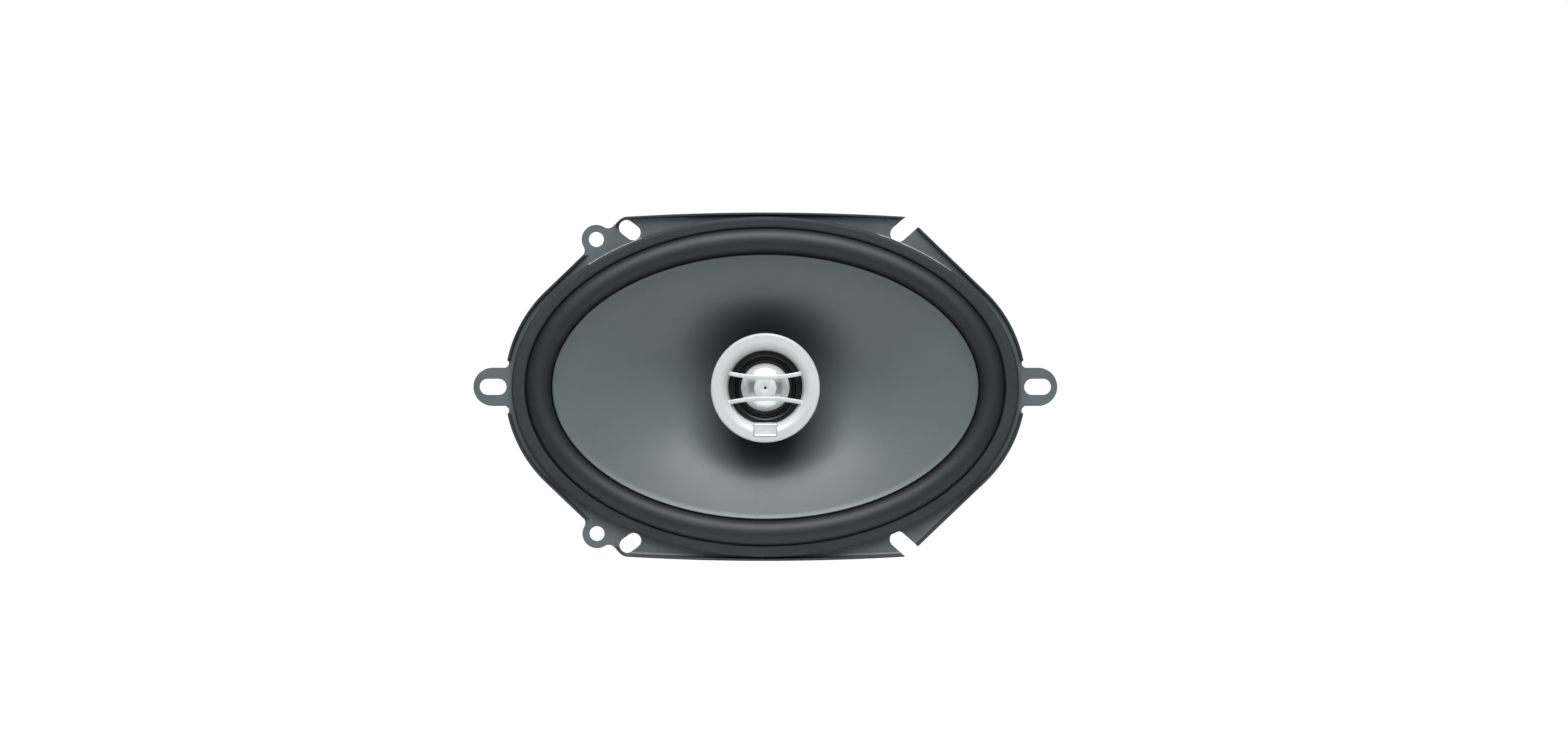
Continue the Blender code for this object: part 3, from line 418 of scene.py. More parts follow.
def make_materials():
    """Every finish, by the name of its slot."""
    made = {}

    def add(kind, name, *looks, **more):
        made[name] = kind(name, *looks, **more)

    # frame_paint carries painted shade: its turned edge is darkened by height
    add(
        finish, "frame_paint", (82, 89, 92), (97, 105, 108), (0.38, 0.55), 45, 1900, 0.02,
        shade=(backward, *FLANGE_PAINTED_SHADE), Coat_Weight=0.1, Coat_Roughness=0.3,
    )
    add(finish, "gasket_rubber", (34, 38, 40), (43, 48, 50), (0.6, 0.85), 60, 1500, 0.06)
    # surround_rubber carries painted shade: the roll is darkened toward its foot
    add(
        finish, "surround_rubber", (33, 37, 39), (41, 46, 49), (0.44, 0.56), 50, 2600, 0.02,
        shade=(backward, *ROLL_PAINTED_SHADE), Specular_IOR_Level=0.4,
    )
    # cone_polypropylene carries a painted shadow: a dark halo round the tweeter
    add(
        finish, "cone_polypropylene", (89, 99, 100), (94, 104, 105), (0.32, 0.4), 24, 1300, 0.012,
        shade=(length, *CONE_PAINTED_SHADOW),
    )
    add(finish, "former_film", (84, 50, 22), (112, 72, 34), (0.2, 0.35), 120, 900, 0.01)
    add(wound_wire, "coil_copper", (104, 48, 26), (208, 124, 80), 0.3)
    add(woven_cloth, "spider_cloth", (128, 92, 42), (214, 178, 104), 0.45)
    add(turned_steel, "zinc_plating", (158, 160, 160), (190, 192, 191), (0.28, 0.42), 0.35)
    add(finish, "ferrite", (38, 38, 41), (62, 62, 66), (0.5, 0.75), 140, 1400, 0.08)
    add(finish, "black_plastic", (14, 15, 16), (21, 22, 24), (0.28, 0.42), 60, 2400, 0.02)
    add(finish, "silver_plastic", (203, 208, 209), (214, 219, 219), (0.34, 0.44), 60, 4200, 0.012, 0.15)
    add(finish, "badge_plastic", (200, 202, 203), (222, 224, 224), (0.3, 0.45), 200, 3000, 0.02, 0.3)
    add(dome_metal, "dome_metal")
    add(finish, "magnet_plating", (150, 150, 152), (178, 178, 180), (0.18, 0.32), 90, 2400, 0.01, 1.0)
    add(fibre_board, "board_fibre", (70, 42, 24), (116, 74, 42), (150, 104, 64))
    add(finish, "terminal_tin", (176, 170, 152), (214, 208, 190), (0.22, 0.42), 160, 1900, 0.02, 1.0)
    add(finish, "capacitor_sleeve", (26, 44, 96), (38, 62, 124), (0.25, 0.4), 140, 1200, 0.02)
    add(braided, "woven_copper", (92, 48, 30), (222, 148, 106), 0.22)
    add(finish, "red_insulation", (132, 24, 22), (164, 38, 32), (0.35, 0.5), 120, 1400, 0.03)
    add(finish, "black_insulation", (18, 18, 20), (30, 30, 33), (0.35, 0.5), 120, 1400, 0.03)
    # Pale glossy beads, also a painted highlight on the gasket's upper corners
    add(finish, "glue_and_highlight", (120, 124, 126), (172, 176, 178), (0.12, 0.25), 200, 900, 0.06)
    return made


# ---- shapes


def arc(centre, radius, start, end, steps):
    angles = (start + (end - start) * k / steps for k in range(steps + 1))
    return [(centre[0] + radius * math.cos(a), centre[1] + radius * math.sin(a)) for a in angles]


def circle(centre, radius, segments=64):
    return arc(centre, radius, 0, math.tau, segments)[:-1]


def capsule(start, end, radius, steps=25):
    """The outline of a slot between two centres."""
    along = math.atan2(end[1] - start[1], end[0] - start[0])
    quarter = math.pi / 2
    near = arc(start, radius, along + quarter, along + 3 * quarter, steps)
    return near + arc(end, radius, along - quarter, along + quarter, steps)


def rectangle(low, high):
    return [low, (high[0], low[1]), high, (low[0], high[1])]


def rounded_rectangle(half_x, half_y, radius, centre=(0, 0), steps=6):
    outline = []
    quarter = math.pi / 2
    for corner, (x, y) in enumerate(((1, 1), (-1, 1), (-1, -1), (1, -1))):
        spot = (centre[0] + x * (half_x - radius), centre[1] + y * (half_y - radius))
        outline += arc(spot, radius, corner * quarter, (corner + 1) * quarter, steps)
    return outline


def mirrored(outline, x=1, y=1):
    return [(x * px, y * py) for px, py in outline]


def bent(start, corner, end, steps):
    """A curve from start to end that leans toward a corner."""
    shares = (step / steps for step in range(steps + 1))
    return [start * (1 - t) ** 2 + corner * (2 * t * (1 - t)) + end * t**2 for t in shares]


def eased(points, radius, steps=4, closed=True):
    """The same line with each corner turned into a short curve; points have any number of sizes."""
    points = [Vector(point) for point in points]
    count = len(points)
    made = []
    for k, corner in enumerate(points):
        if not closed and k in (0, count - 1):
            made.append(corner)
            continue
        back, ahead = points[k - 1] - corner, points[(k + 1) % count] - corner
        start = corner + back.normalized() * min(radius, back.length * 0.45)
        end = corner + ahead.normalized() * min(radius, ahead.length * 0.45)
        made += bent(start, corner, end, steps)
    return made


def flowing(points, steps):
    """A smooth curve through every point, as a Catmull-Rom spline."""
    points = [Vector(point) for point in points]
    knots = [2 * points[0] - points[1], *points, 2 * points[-1] - points[-2]]
    made = []
    for a, b, c, d in zip(knots, knots[1:], knots[2:], knots[3:]):
        for k in range(steps):
            t = k / steps
            pull = (c - a) * t + (2 * a - 5 * b + 4 * c - d) * t**2 + (3 * b - a - 3 * c + d) * t**3
            made.append(b + pull / 2)
    return made + [points[-1]]


def smooth(share):
    share = min(max(share, 0.0), 1.0)
    return share * share * (3 - 2 * share)


class Body:
    """Points and faces of a closed body, in the speaker's own axes."""

    def __init__(self):
        self.points = []
        self.faces = []

    def loop(self, points):
        start = len(self.points)
        self.points += [tuple(point) for point in points]
        return list(range(start, start + len(points)))

    def band(self, first, second):
        count = max(len(first), len(second))
        for k in range(count):
            after = (k + 1) % count
            corners = [first[k % len(first)], first[after % len(first)]]
            corners += [second[after % len(second)], second[k % len(second)]]
            self.faces.append(tuple(dict.fromkeys(corners)))

    def bands(self, loops, closed=False):
        for first, second in zip(loops, loops[1:]):
            self.band(first, second)
        if closed:
            self.band(loops[-1], loops[0])
        return self

    def ends(self, loops):
        """Joins these loops in a row and closes both ends."""
        self.bands(loops)
        self.faces += [tuple(loops[0]), tuple(loops[-1])]
        return self

    def mesh(self, name, place=world):
        shape = bmesh.new()
        verts = [shape.verts.new(place(point)) for point in self.points]
        for face in self.faces:
            shape.faces.new([verts[k] for k in face])
        bmesh.ops.recalc_face_normals(shape, faces=shape.faces)
        mesh = bpy.data.meshes.new(name)
        shape.to_mesh(mesh)
        shape.free()
        return mesh


def oval_loop(half_x, half_y, z, segments):
    if half_x < 1e-6:
        return [(0, 0, z)]
    turns = (math.tau * k / segments for k in range(segments))
    return [(half_x * math.cos(t), half_y * math.sin(t), z) for t in turns]


def ringed(rings, segments=OVAL):
    """A closed body whose section goes round these rings of half length, half height and z."""
    body = Body()
    loops = [body.loop(oval_loop(*ring, segments)) for ring in rings]
    return body.bands(loops, closed=len(loops[0]) > 1)


def turned(profile, segments=ROUND):
    return ringed([(radius, radius, z) for radius, z in profile], segments)


def washer(box, bore, radius=0.0, steps=4):
    """A ring from bore out to a CAD node's box, with corners of this radius; with no bore, a disc."""
    section = [(bore, box.rear), (box.x, box.rear), (box.x, box.front), (bore, box.front)]
    return turned(eased(section, radius, steps, closed=bore > 0) if radius else section)


def prism(outline, low, high):
    return stacked(lambda inset: outline, [(0, low), (0, high)])


def together(bodies):
    """Several bodies that don't meet, as one."""
    joined = Body()
    for body in bodies:
        start = len(joined.points)
        joined.points += body.points
        joined.faces += [tuple(start + k for k in face) for face in body.faces]
    return joined


def prisms(outlines, low, high):
    return together([prism(outline, low, high) for outline in outlines])


def stacked(outline_at, levels):
    """A body from an outline that changes with each (inset, z) level, closed at both ends."""
    body = Body()
    loops = [body.loop([(x, y, z) for x, y in outline_at(inset)]) for inset, z in levels]
    return body.ends(loops)


def swept(route, section):
    """A body of this section carried along a route, closed at both ends."""
    body = Body()
    side = Vector((0, 0, 1))
    loops = []
    for k, spot in enumerate(route):
        ahead = (route[min(k + 1, len(route) - 1)] - route[max(k - 1, 0)]).normalized()
        side = (side - ahead * side.dot(ahead)).normalized()
        up = ahead.cross(side)
        loops.append(body.loop([spot + side * v + up * u for u, v in section]))
    return body.ends(loops)


def new_object(name, mesh):
    made = bpy.data.objects.new(name, mesh)
    bpy.context.scene.collection.objects.link(made)
    return made


def combine(obj, steps):
    """Applies Boolean steps, each an operation with its tool's body, and leaves a plain mesh."""
    for number, (operation, body) in enumerate(steps):
        mesh = body if isinstance(body, bpy.types.Mesh) else body.mesh(f"tool_{number}")
        helper = new_object(f"tool_{number}", mesh)
        step = obj.modifiers.new(helper.name, "BOOLEAN")
        step.operation = operation
        step.solver = "EXACT"
        step.object = helper
        graph = bpy.context.evaluated_depsgraph_get()
        result = bpy.data.meshes.new_from_object(obj.evaluated_get(graph))
        obj.modifiers.clear()
        obj.data = result
        bpy.data.objects.remove(helper, do_unlink=True)
    obj.data.materials.clear()


def piece(name, body, slot, *nodes, steps=(), on="root", angle=32.0, place=world):
    """A new piece: its body after any Boolean steps, its finish and the CAD nodes it stands for."""
    obj = new_object(name, body.mesh(name, place))
    combine(obj, steps)
    obj.data.materials.append(MATERIALS[slot])
    obj.data.shade_smooth()
    obj.data.set_sharp_from_angle(angle=math.radians(angle))
    if nodes:
        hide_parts(*nodes)
    if on:
        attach(obj, on)
    return obj


def flexing(obj):
    """Bakes a piece's place into its mesh."""
    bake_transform(obj)


# ---- frame

BOX = {name: extent(name) for name in frame["nodes"]}

SHEET = 1.0  # of the flange
BASKET_SHEET = 1.2
EDGE_BOW_RADIUS = 929.0
END_ARC_CENTRE = 52.2
END_ARC_RADIUS = 53.9
DIAGONAL = math.radians(46.2)
CORNER_RADIUS = 4.6
LIP_TOP = 3.0
LIP_BEND = 1.5  # inside radius where the edge turns up
FIXING_RADIUS = 3.28
SIDE_LIP_GAP = ((100.0, -10.8), (112.0, 10.8))
ROUND_LIP_GAP = ((-80.0, 53.6), (-60.6, 76.0))
SIDE_EAR = ((97.0, 0.0), (111.1, 0.0))
SIDE_EAR_RADIUS = 7.8
SIDE_SLOT = ((108.7, 0.0), (113.1, 0.0))
ROUND_EAR = (-68.7, 60.0)
ROUND_EAR_RADIUS = 5.95
ROUND_EAR_HOLE = 3.04
ROUND_EAR_FILLET = 3.0
CORNER_SLOT = ((-56.4, 64.8), (-53.8, 62.8))
CORNER_SLOT_RADIUS = 3.1
CORNER_NOTCH = ((54.1, 62.3), (68.0, 74.6))
RELIEF, RELIEF_RADIUS = (106.0, 9.6), 1.6
WELL = (90.8, 61.4)
SHOULDER = (87.0, 58.4)
LEDGE_OUTER, LEDGE_INNER, LEDGE_FRONT = 43.5, 39.3, -29.8
BASE_FRONT, BASE_BORE = -36.5, 17.5
WINDOW_INNER = (47.5, 46.5)
WINDOW_OUTER = (84.5, 56.2)
WINDOW_CUT = (-34, -4)
WINDOWS = ((16, 52), (68, 112), (128, 170), (190, 232), (248, 292), (308, 344))
RIBBED_SPOKES = (60, 120, 180, 240, 300)
RIB_START = 50.0
RIB_END = (81.0, 56.0)
RIB_RADIUS = 1.3
SHOULDER_REAR = -11.5
RIVET_HOLE = 2.2
BOARD_SEAT = (62.8, 0.0, -24.2)
BOARD_SLOPE = math.radians(23.4)
BOARD = (-16.0, 14.0, 12.0, 1.6)  # inner end, outer end, half width and thickness
BOARD_GAP = 0.3  # between the board and its seat
EYELETS = (-1, 8)  # places of the board's two rivets
EYELET_HOLE = 1.4
BLADE_SIDE, BLADE_BEND, BLADE_HEIGHT = 6.1, 10.6, 9.98
CAPACITOR_RADIUS, CAPACITOR_PLACE = 4, -9


def seated(point):
    """A point on the terminal board's seat as a point of the frame."""
    turn = Euler((math.pi, -BOARD_SLOPE, 0)).to_matrix()
    return world(turn @ Vector(point) + Vector(BOARD_SEAT))


def rim_outline(inset):
    """The flange's stretched octagon, moved in from its edge by inset."""
    half_height = BOX["basket_frame"].y
    bow_centre = half_height - EDGE_BOW_RADIUS
    normal = Vector((math.cos(DIAGONAL), math.sin(DIAGONAL)))
    along = Vector((-normal.y, normal.x))
    diagonal = END_ARC_CENTRE * normal.x + END_ARC_RADIUS
    foot = (diagonal - CORNER_RADIUS) * normal - Vector((0, bow_centre))
    half = foot.dot(along)
    reach = (EDGE_BOW_RADIUS - CORNER_RADIUS) ** 2 - foot.length_squared
    corner = foot + (math.sqrt(half * half + reach) - half) * along + Vector((0, bow_centre))
    top_angle = math.atan2(corner.y - bow_centre, corner.x)
    quarter = arc((END_ARC_CENTRE, 0), END_ARC_RADIUS - inset, 0, DIAGONAL, 32)
    quarter += arc(corner, CORNER_RADIUS - inset, DIAGONAL, top_angle, 12)
    quarter += arc((0, bow_centre), EDGE_BOW_RADIUS - inset, top_angle, math.pi / 2, 16)[1:]
    right = quarter + mirrored(quarter, x=-1)[-2::-1]
    return right + mirrored(right, y=-1)[-2:0:-1]


def round_ear(side):
    """The small round ear of a left corner, with a concave fillet on each side of its neck."""
    normal = Vector((-math.cos(DIAGONAL), math.sin(DIAGONAL)))
    along = Vector((-normal.y, normal.x))
    centre = Vector(ROUND_EAR)
    proud = centre.dot(normal) - (END_ARC_CENTRE * -normal.x + END_ARC_RADIUS)
    rise = ROUND_EAR_FILLET - proud
    reach = math.sqrt((ROUND_EAR_RADIUS + ROUND_EAR_FILLET) ** 2 - rise**2)
    lean = math.atan2(rise, reach)
    fillet = arc((reach, rise), ROUND_EAR_FILLET, -math.pi / 2, -math.pi + lean, 12)
    crown = arc((0, 0), ROUND_EAR_RADIUS, lean, math.pi - lean, 44)
    root = -proud - 2.5
    outline = [(reach, root), *fillet, *crown[1:-1], *mirrored(fillet, x=-1)[::-1], (-reach, root)]
    spots = [centre - along * u + normal * v for u, v in outline]
    return [(spot.x, side * spot.y) for spot in spots]


def flange_tray():
    """The flange with its rounded, turned-up edge and its oval opening."""
    levels = [(0.35, 0), (0.1, 0.1), (0, 0.35), (0, LIP_TOP - 0.15), (0.05, LIP_TOP - 0.05)]
    levels += [(0.15, LIP_TOP), (0.6, LIP_TOP), (0.82, LIP_TOP - 0.08), (0.9, LIP_TOP - 0.3)]
    for t in (0.3, 0.6, 0.9, 1.2):
        levels.append((0.9 + LIP_BEND * (1 - math.cos(t)), SHEET + LIP_BEND * (1 - math.sin(t))))
    levels.append((0.9 + LIP_BEND, SHEET))
    body = Body()
    loops = [body.loop([(x, y, z) for x, y in rim_outline(inset)]) for inset, z in levels]
    half_x, half_y = WELL[0] - 2.0, WELL[1] - 2.0
    turns = [math.atan2(y / half_y, x / half_x) for x, y in rim_outline(0)]
    for z in (SHEET, 0):
        loops.append(body.loop([(half_x * math.cos(t), half_y * math.sin(t), z) for t in turns]))
    return body.bands(loops, closed=True)


def basket_shell():
    """The pressed well, its slope, the spider's ledge and the base, as one sheet."""
    sheet = BASKET_SHEET
    outside = [
        (*WELL, 0.6),
        (WELL[0] - 0.4, WELL[1] - 0.4, -8.0),
        (*SHOULDER, SHOULDER_REAR),
        (LEDGE_OUTER + 2.0, LEDGE_OUTER + 1.5, LEDGE_FRONT + 0.3),
        (LEDGE_OUTER, LEDGE_OUTER, LEDGE_FRONT - sheet),
        (LEDGE_INNER + sheet, LEDGE_INNER + sheet, LEDGE_FRONT - sheet),
        (LEDGE_INNER + sheet, LEDGE_INNER + sheet, BASE_FRONT - sheet),
        (BASE_BORE, BASE_BORE, BASE_FRONT - sheet),
    ]
    inside = [
        (BASE_BORE, BASE_BORE, BASE_FRONT),
        (LEDGE_INNER, LEDGE_INNER, BASE_FRONT),
        (LEDGE_INNER, LEDGE_INNER, LEDGE_FRONT),
        (LEDGE_OUTER + 0.5, LEDGE_OUTER + 0.1, LEDGE_FRONT),
        (SHOULDER[0] - 0.9, SHOULDER[1] - 1.1, -10.4),
        (WELL[0] - 1.6, WELL[1] - 1.6, -7.6),
        (WELL[0] - 1.2, WELL[1] - 1.2, 0.6),
    ]
    rings = eased(outside, 1.3, 4, closed=False) + eased(inside, 1.0, 4, closed=False)
    return ringed(rings, 180)


def window(start, end, radius=2.8, steps=14):
    """An opening between two spokes, with rounded corners, between two angles in degrees."""

    def along(ring, first, last):
        turns = (math.radians(first + (last - first) * k / steps) for k in range(steps + 1))
        return [(ring[0] * math.cos(t), ring[1] * math.sin(t)) for t in turns]

    inner = along(WINDOW_INNER, start, end)
    outer = along(WINDOW_OUTER, end, start)
    corners = {0, steps, steps + 1, 2 * steps + 1}
    outline = [Vector(point) for point in inner + outer]
    made = []
    for k, corner in enumerate(outline):
        if k in corners:
            back = outline[k - 1] - corner
            ahead = outline[(k + 1) % len(outline)] - corner
            first, last = corner + back.normalized() * radius, corner + ahead.normalized() * radius
            made += bent(first, corner, last, 7)
        elif all((corner - outline[c]).length > radius for c in corners):
            made.append(corner)
    return made


def spoke_rib(angle):
    """The rib pressed into the back of a spoke, at this angle in degrees."""
    turn = math.radians(angle)
    route = []
    for share in (0.0, 0.06, 0.5, 0.94, 1.0):
        half_x = RIB_START + (RIB_END[0] - RIB_START) * share
        half_y = RIB_START + (RIB_END[1] - RIB_START) * share
        slope = (half_x - LEDGE_OUTER - 2.0) / (SHOULDER[0] - LEDGE_OUTER - 2.0)
        z = LEDGE_FRONT + 0.3 + (SHOULDER_REAR - LEDGE_FRONT - 0.3) * slope
        sunk = BASKET_SHEET if share in (0.0, 1.0) else 0.0
        route.append(Vector((half_x * math.cos(turn), half_y * math.sin(turn), z + sunk)))
    return swept(route, circle((0, 0), RIB_RADIUS, 20))


def rivet_spots():
    spots = (BOX[f"frame_rivet_{number}"] for number in range(1, 5))
    return [(spot.cx, spot.cy) for spot in spots]


def basket_frame():
    gaps = [mirrored(rectangle(*SIDE_LIP_GAP), x=side) for side in (-1, 1)]
    gaps += [mirrored(rectangle(*ROUND_LIP_GAP), y=side) for side in (-1, 1)]
    side_ear = capsule(*SIDE_EAR, SIDE_EAR_RADIUS, 35)
    ears = [mirrored(side_ear, x=side) for side in (-1, 1)] + [round_ear(side) for side in (-1, 1)]
    holes = [mirrored(capsule(*SIDE_SLOT, FIXING_RADIUS), x=side) for side in (-1, 1)]
    for side in (-1, 1):
        holes.append(circle((ROUND_EAR[0], side * ROUND_EAR[1]), ROUND_EAR_HOLE))
        holes.append(mirrored(capsule(*CORNER_SLOT, CORNER_SLOT_RADIUS), y=side))
        holes.append(mirrored(capsule(*CORNER_NOTCH, FIXING_RADIUS), y=side))
        holes += [mirrored(circle(RELIEF, RELIEF_RADIUS, 24), x=end, y=side) for end in (-1, 1)]
    rivet_holes = [circle(spot, RIVET_HOLE, 32) for spot in rivet_spots()]
    punched = together([prisms(holes, -2, 6), prisms(rivet_holes, -40, -35)])
    inner, outer, half_width, _ = BOARD
    pad = prism(rectangle((inner, -half_width), (outer, half_width)), -3.2, 0)
    drilled = prisms([circle((x, 0), EYELET_HOLE, 24) for x in EYELETS], -2.6, 1)
    steps = [
        ("DIFFERENCE", prisms(gaps, SHEET, LIP_TOP + 1)),
        ("UNION", prisms(ears, 0, SHEET)),
        ("UNION", basket_shell()),
        ("DIFFERENCE", prisms([window(*span) for span in WINDOWS], *WINDOW_CUT)),
        ("DIFFERENCE", punched),
        ("UNION", together([spoke_rib(angle) for angle in RIBBED_SPOKES])),
        ("UNION", pad.mesh("pad", seated)),
        ("DIFFERENCE", drilled.mesh("drilled", seated)),
    ]
    piece("basket_frame_pressing", flange_tray(), "frame_paint", "basket_frame", steps=steps, angle=28)


GASKET_WIDTH = 5.5  # at the ends of the oval
GASKET_INNER_HEIGHT = 64.7
GLUE_HIGHLIGHT_SPANS = (("left", (119.0, 134.0)), ("right", (43.0, 64.0)))  # pale squeezed-out beads at the upper corners only: real beads whose pale tone is also a painted highlight where the gasket's edge catches light from above
GLUE_HEIGHT = 3.9
GLUE_RADIUS = 0.24


def front_gasket():
    box = BOX["front_gasket"]
    outer = (box.x, box.y)
    width = GASKET_WIDTH
    levels = [(0, box.rear), (0, box.front - 1.3), (0.25, box.front - 0.5), (1.0, box.front - 0.05)]
    levels += [(1.8, box.front), (width - 1.2, box.front), (width - 0.4, box.front - 0.15)]
    levels += [(width, box.front - 0.7), (width, box.rear)]
    height_share = (box.y - GASKET_INNER_HEIGHT) / width
    rings = [(outer[0] - inset, outer[1] - inset * height_share, z) for inset, z in levels]
    piece("front_gasket_ring", ringed(eased(rings, 0.3, 3)), "gasket_rubber", "front_gasket")
    # Pale beads at the gasket's upper corners, also a painted highlight along its edge
    for word, (start, end) in GLUE_HIGHLIGHT_SPANS:
        angles = [math.radians(start + (end - start) * k / 60) for k in range(61)]
        route = [Vector((outer[0] * math.cos(a), outer[1] * math.sin(a), GLUE_HEIGHT)) for a in angles]
        piece(f"gasket_glue_{word}", swept(route, circle((0, 0), GLUE_RADIUS, 12)), "glue_and_highlight")


# ---- cone and surround

CONE_EDGE = (86.4, 53.7)
CONE_EDGE_FRONT = 2.6
CONE_DEPTH = 26.8
CONE_SHEET = 0.8
NECK_RADIUS = 13.4
FORMER_BORE, WINDING_BORE = 12.7, 13.4
GASKET_OUTER = (103.2, 69.3)
GASKET_INNER = (98.5, 65.5)
ROLL_CENTRE = (92.4, 59.6)
ROLL_RADIUS = 5.1
ROLL_BASE = 1.65
RUBBER = 0.7


def cone_ring(share, drop=0.0):
    out = 1 - share
    depth = 0.5 * out + 0.5 * out**3
    half_x = NECK_RADIUS + (CONE_EDGE[0] - NECK_RADIUS) * share
    half_y = NECK_RADIUS + (CONE_EDGE[1] - NECK_RADIUS) * share
    return half_x, half_y, CONE_EDGE_FRONT - CONE_DEPTH * depth - drop


def woofer_cone():
    shares = [k / 40 for k in range(41)]
    front = [cone_ring(share) for share in shares[:-1]]
    bead = ((-0.35, 0.18), (-0.1, 0.3), (0.15, 0.22), (0.3, 0.0), (0.34, -0.3), (0.3, -0.6))
    rim = [(CONE_EDGE[0] + out, CONE_EDGE[1] + out, CONE_EDGE_FRONT + rise) for out, rise in bead]
    rear = [cone_ring(share, CONE_SHEET) for share in shares]
    body = ringed(front + rim + rear[::-1])
    piece("woofer_cone_moulding", body, "cone_polypropylene", "woofer_cone", on="cone_assembly", angle=40)


def surround():
    """The half roll, glued under the gasket and under the cone's rim."""

    def side(offset, steps=28):
        radius = ROLL_RADIUS + offset
        flap = CONE_SHEET + 0.3 + RUBBER / 2 - offset
        lip = ROLL_BASE + offset
        rings = [(GASKET_OUTER[0] - 0.5, GASKET_OUTER[1] - 0.5, lip, 0.0)]
        rings.append((GASKET_INNER[0] + 0.6, GASKET_INNER[1] + 0.6, lip, 0.0))
        rings.append((GASKET_INNER[0] - 0.3, GASKET_INNER[1] - 0.3, lip, 0.0))
        for k in range(steps + 1):
            turn = math.pi * (0.06 + 0.88 * k / steps)
            out = radius * math.cos(turn)
            share = smooth(k / steps)
            height = ROLL_BASE + radius * math.sin(turn)
            rings.append((ROLL_CENTRE[0] + out, ROLL_CENTRE[1] + out, height, share))
        rim = cone_ring(1, flap)
        rings.append((rim[0] + 0.5, rim[1] + 0.5, rim[2], 1.0))
        rings.append((*cone_ring(0.965, flap), 1.0))
        rings.append((*cone_ring(0.93, flap), 1.0))
        return rings

    rings = side(RUBBER / 2) + side(-RUBBER / 2)[::-1]
    body = ringed([ring[:3] for ring in rings])
    obj = piece("surround_roll", body, "surround_rubber", "surround", on=None, angle=40)
    flexing(obj)


def sheet(name, profile, half, slot, old, moving):
    """A round sheet from the radius, height and share of motion along its middle line."""
    rings = [(radius, radius, z + half, share) for radius, z, share in profile]
    rings += [(radius, radius, z - half, share) for radius, z, share in reversed(profile)]
    body = ringed([ring[:3] for ring in rings], ROUND)
    obj = piece(name, body, slot, old, on=None, angle=50)
    flexing(obj)


def spider():
    """The corrugated cloth disc that centres the coil."""
    inner, start, end, outer = 13.4, 15.0, 38.3, 43.0
    middle, waves, height = -29.2, 4, 1.3
    profile = [(inner, middle, 1.0), (start, middle, 1.0)]
    steps = 72
    for k in range(1, steps):
        share = k / steps
        fading_in = min(1.0, 8 * share, 8 * (1 - share))
        rise = height * math.sin(share * waves * math.tau) * fading_in
        profile.append((start + (end - start) * share, middle + rise, 1 - smooth(share)))
    profile += [(end, middle, 0.0), (outer, middle, 0.0)]
    sheet("spider_disc", profile, 0.3, "spider_cloth", "spider", "cone_assembly")


def coil():
    former = washer(BOX["voice_coil_former"], FORMER_BORE)
    piece("former_tube", former, "former_film", "voice_coil_former", on="cone_assembly")
    winding = washer(BOX["voice_coil_winding"], WINDING_BORE, 0.2, 3)
    piece("winding_layers", winding, "coil_copper", "voice_coil_winding", on="cone_assembly")


# ---- motor

PLATE_BORE = 14.6
FERRITE_BORE = 19
POLE_RADIUS = 12.3
POLE_BORE = 4.4
BACK_PLATE_FRONT = -56.6
RECESS_RADIUS, RECESS_FLOOR = 7.6, -57.0  # of the well for the post's nut
WIRE_GROOVE = ((5.5, -1.8), (45, 1.8))
WIRE_GROOVE_FLOOR = -59.6
POST_RADIUS, POST_WAIST, POST_BORE = 4.0, 5.2, 2.3
COLLAR_RADIUS, COLLAR_SEAT = 7.0, -37.7  # of the collar that stands on the pole
FLANGE_RADIUS, FLANGE_FRONT = 8.0, -10.3  # of the flange that carries the tweeter
THREAD_PITCH, THREAD_TURNS = 0.7, 9
NUT_BORE = 4.3


def motor():
    plate, back = BOX["top_plate"], BOX["pole_back_plate"]
    circles = [circle(spot, RIVET_HOLE, 32) for spot in rivet_spots()]
    steps = [("DIFFERENCE", prisms(circles, plate.front - 3.6, plate.front + 1))]
    piece("top_plate_disc", washer(plate, PLATE_BORE, 0.7), "zinc_plating", "top_plate", steps=steps)

    ferrite = washer(BOX["ferrite_magnet"], FERRITE_BORE, 1.3)
    piece("ferrite_ring", ferrite, "ferrite", "ferrite_magnet")

    section = [
        (RECESS_RADIUS, back.rear),
        (back.x, back.rear),
        (back.x, BACK_PLATE_FRONT),
        (POLE_RADIUS + 1.2, BACK_PLATE_FRONT),
        (POLE_RADIUS, BACK_PLATE_FRONT + 1.2),
        (POLE_RADIUS, back.front),
        (POLE_BORE, back.front),
        (POLE_BORE, RECESS_FLOOR),
        (RECESS_RADIUS, RECESS_FLOOR),
    ]
    groove = prism(rectangle(*WIRE_GROOVE), back.rear - 1, WIRE_GROOVE_FLOOR)
    forging = turned(eased(section, 0.8))
    steps = [("DIFFERENCE", groove)]
    piece("back_plate_forging", forging, "zinc_plating", "pole_back_plate", steps=steps)


def rivet(name, node_name, spot, shank, head, low, seat, top, slot, place=world):
    """A rivet whose shank runs from low to the seat of its domed head, which ends at top."""
    rise = top - seat
    edge = seat + 0.3 * rise
    section = [(0, low), (shank, low), (shank, seat), (head, seat), (head, edge)]
    section += [(head * math.cos(t), edge + 0.7 * rise * math.sin(t)) for t in (0.3, 0.6, 0.9, 1.2)]
    body = turned(section + [(0, top)], 40)
    body.points = [(x + spot[0], y + spot[1], z) for x, y, z in body.points]
    piece(name, body, slot, node_name, place=place)


def rivets():
    seat = BASE_FRONT + 0.3
    for number, spot in enumerate(rivet_spots(), start=1):
        old = f"frame_rivet_{number}"
        box = BOX[old]
        rivet(f"rivet_{number}", old, spot, 1.9, box.x, box.rear, seat, box.front, "zinc_plating")


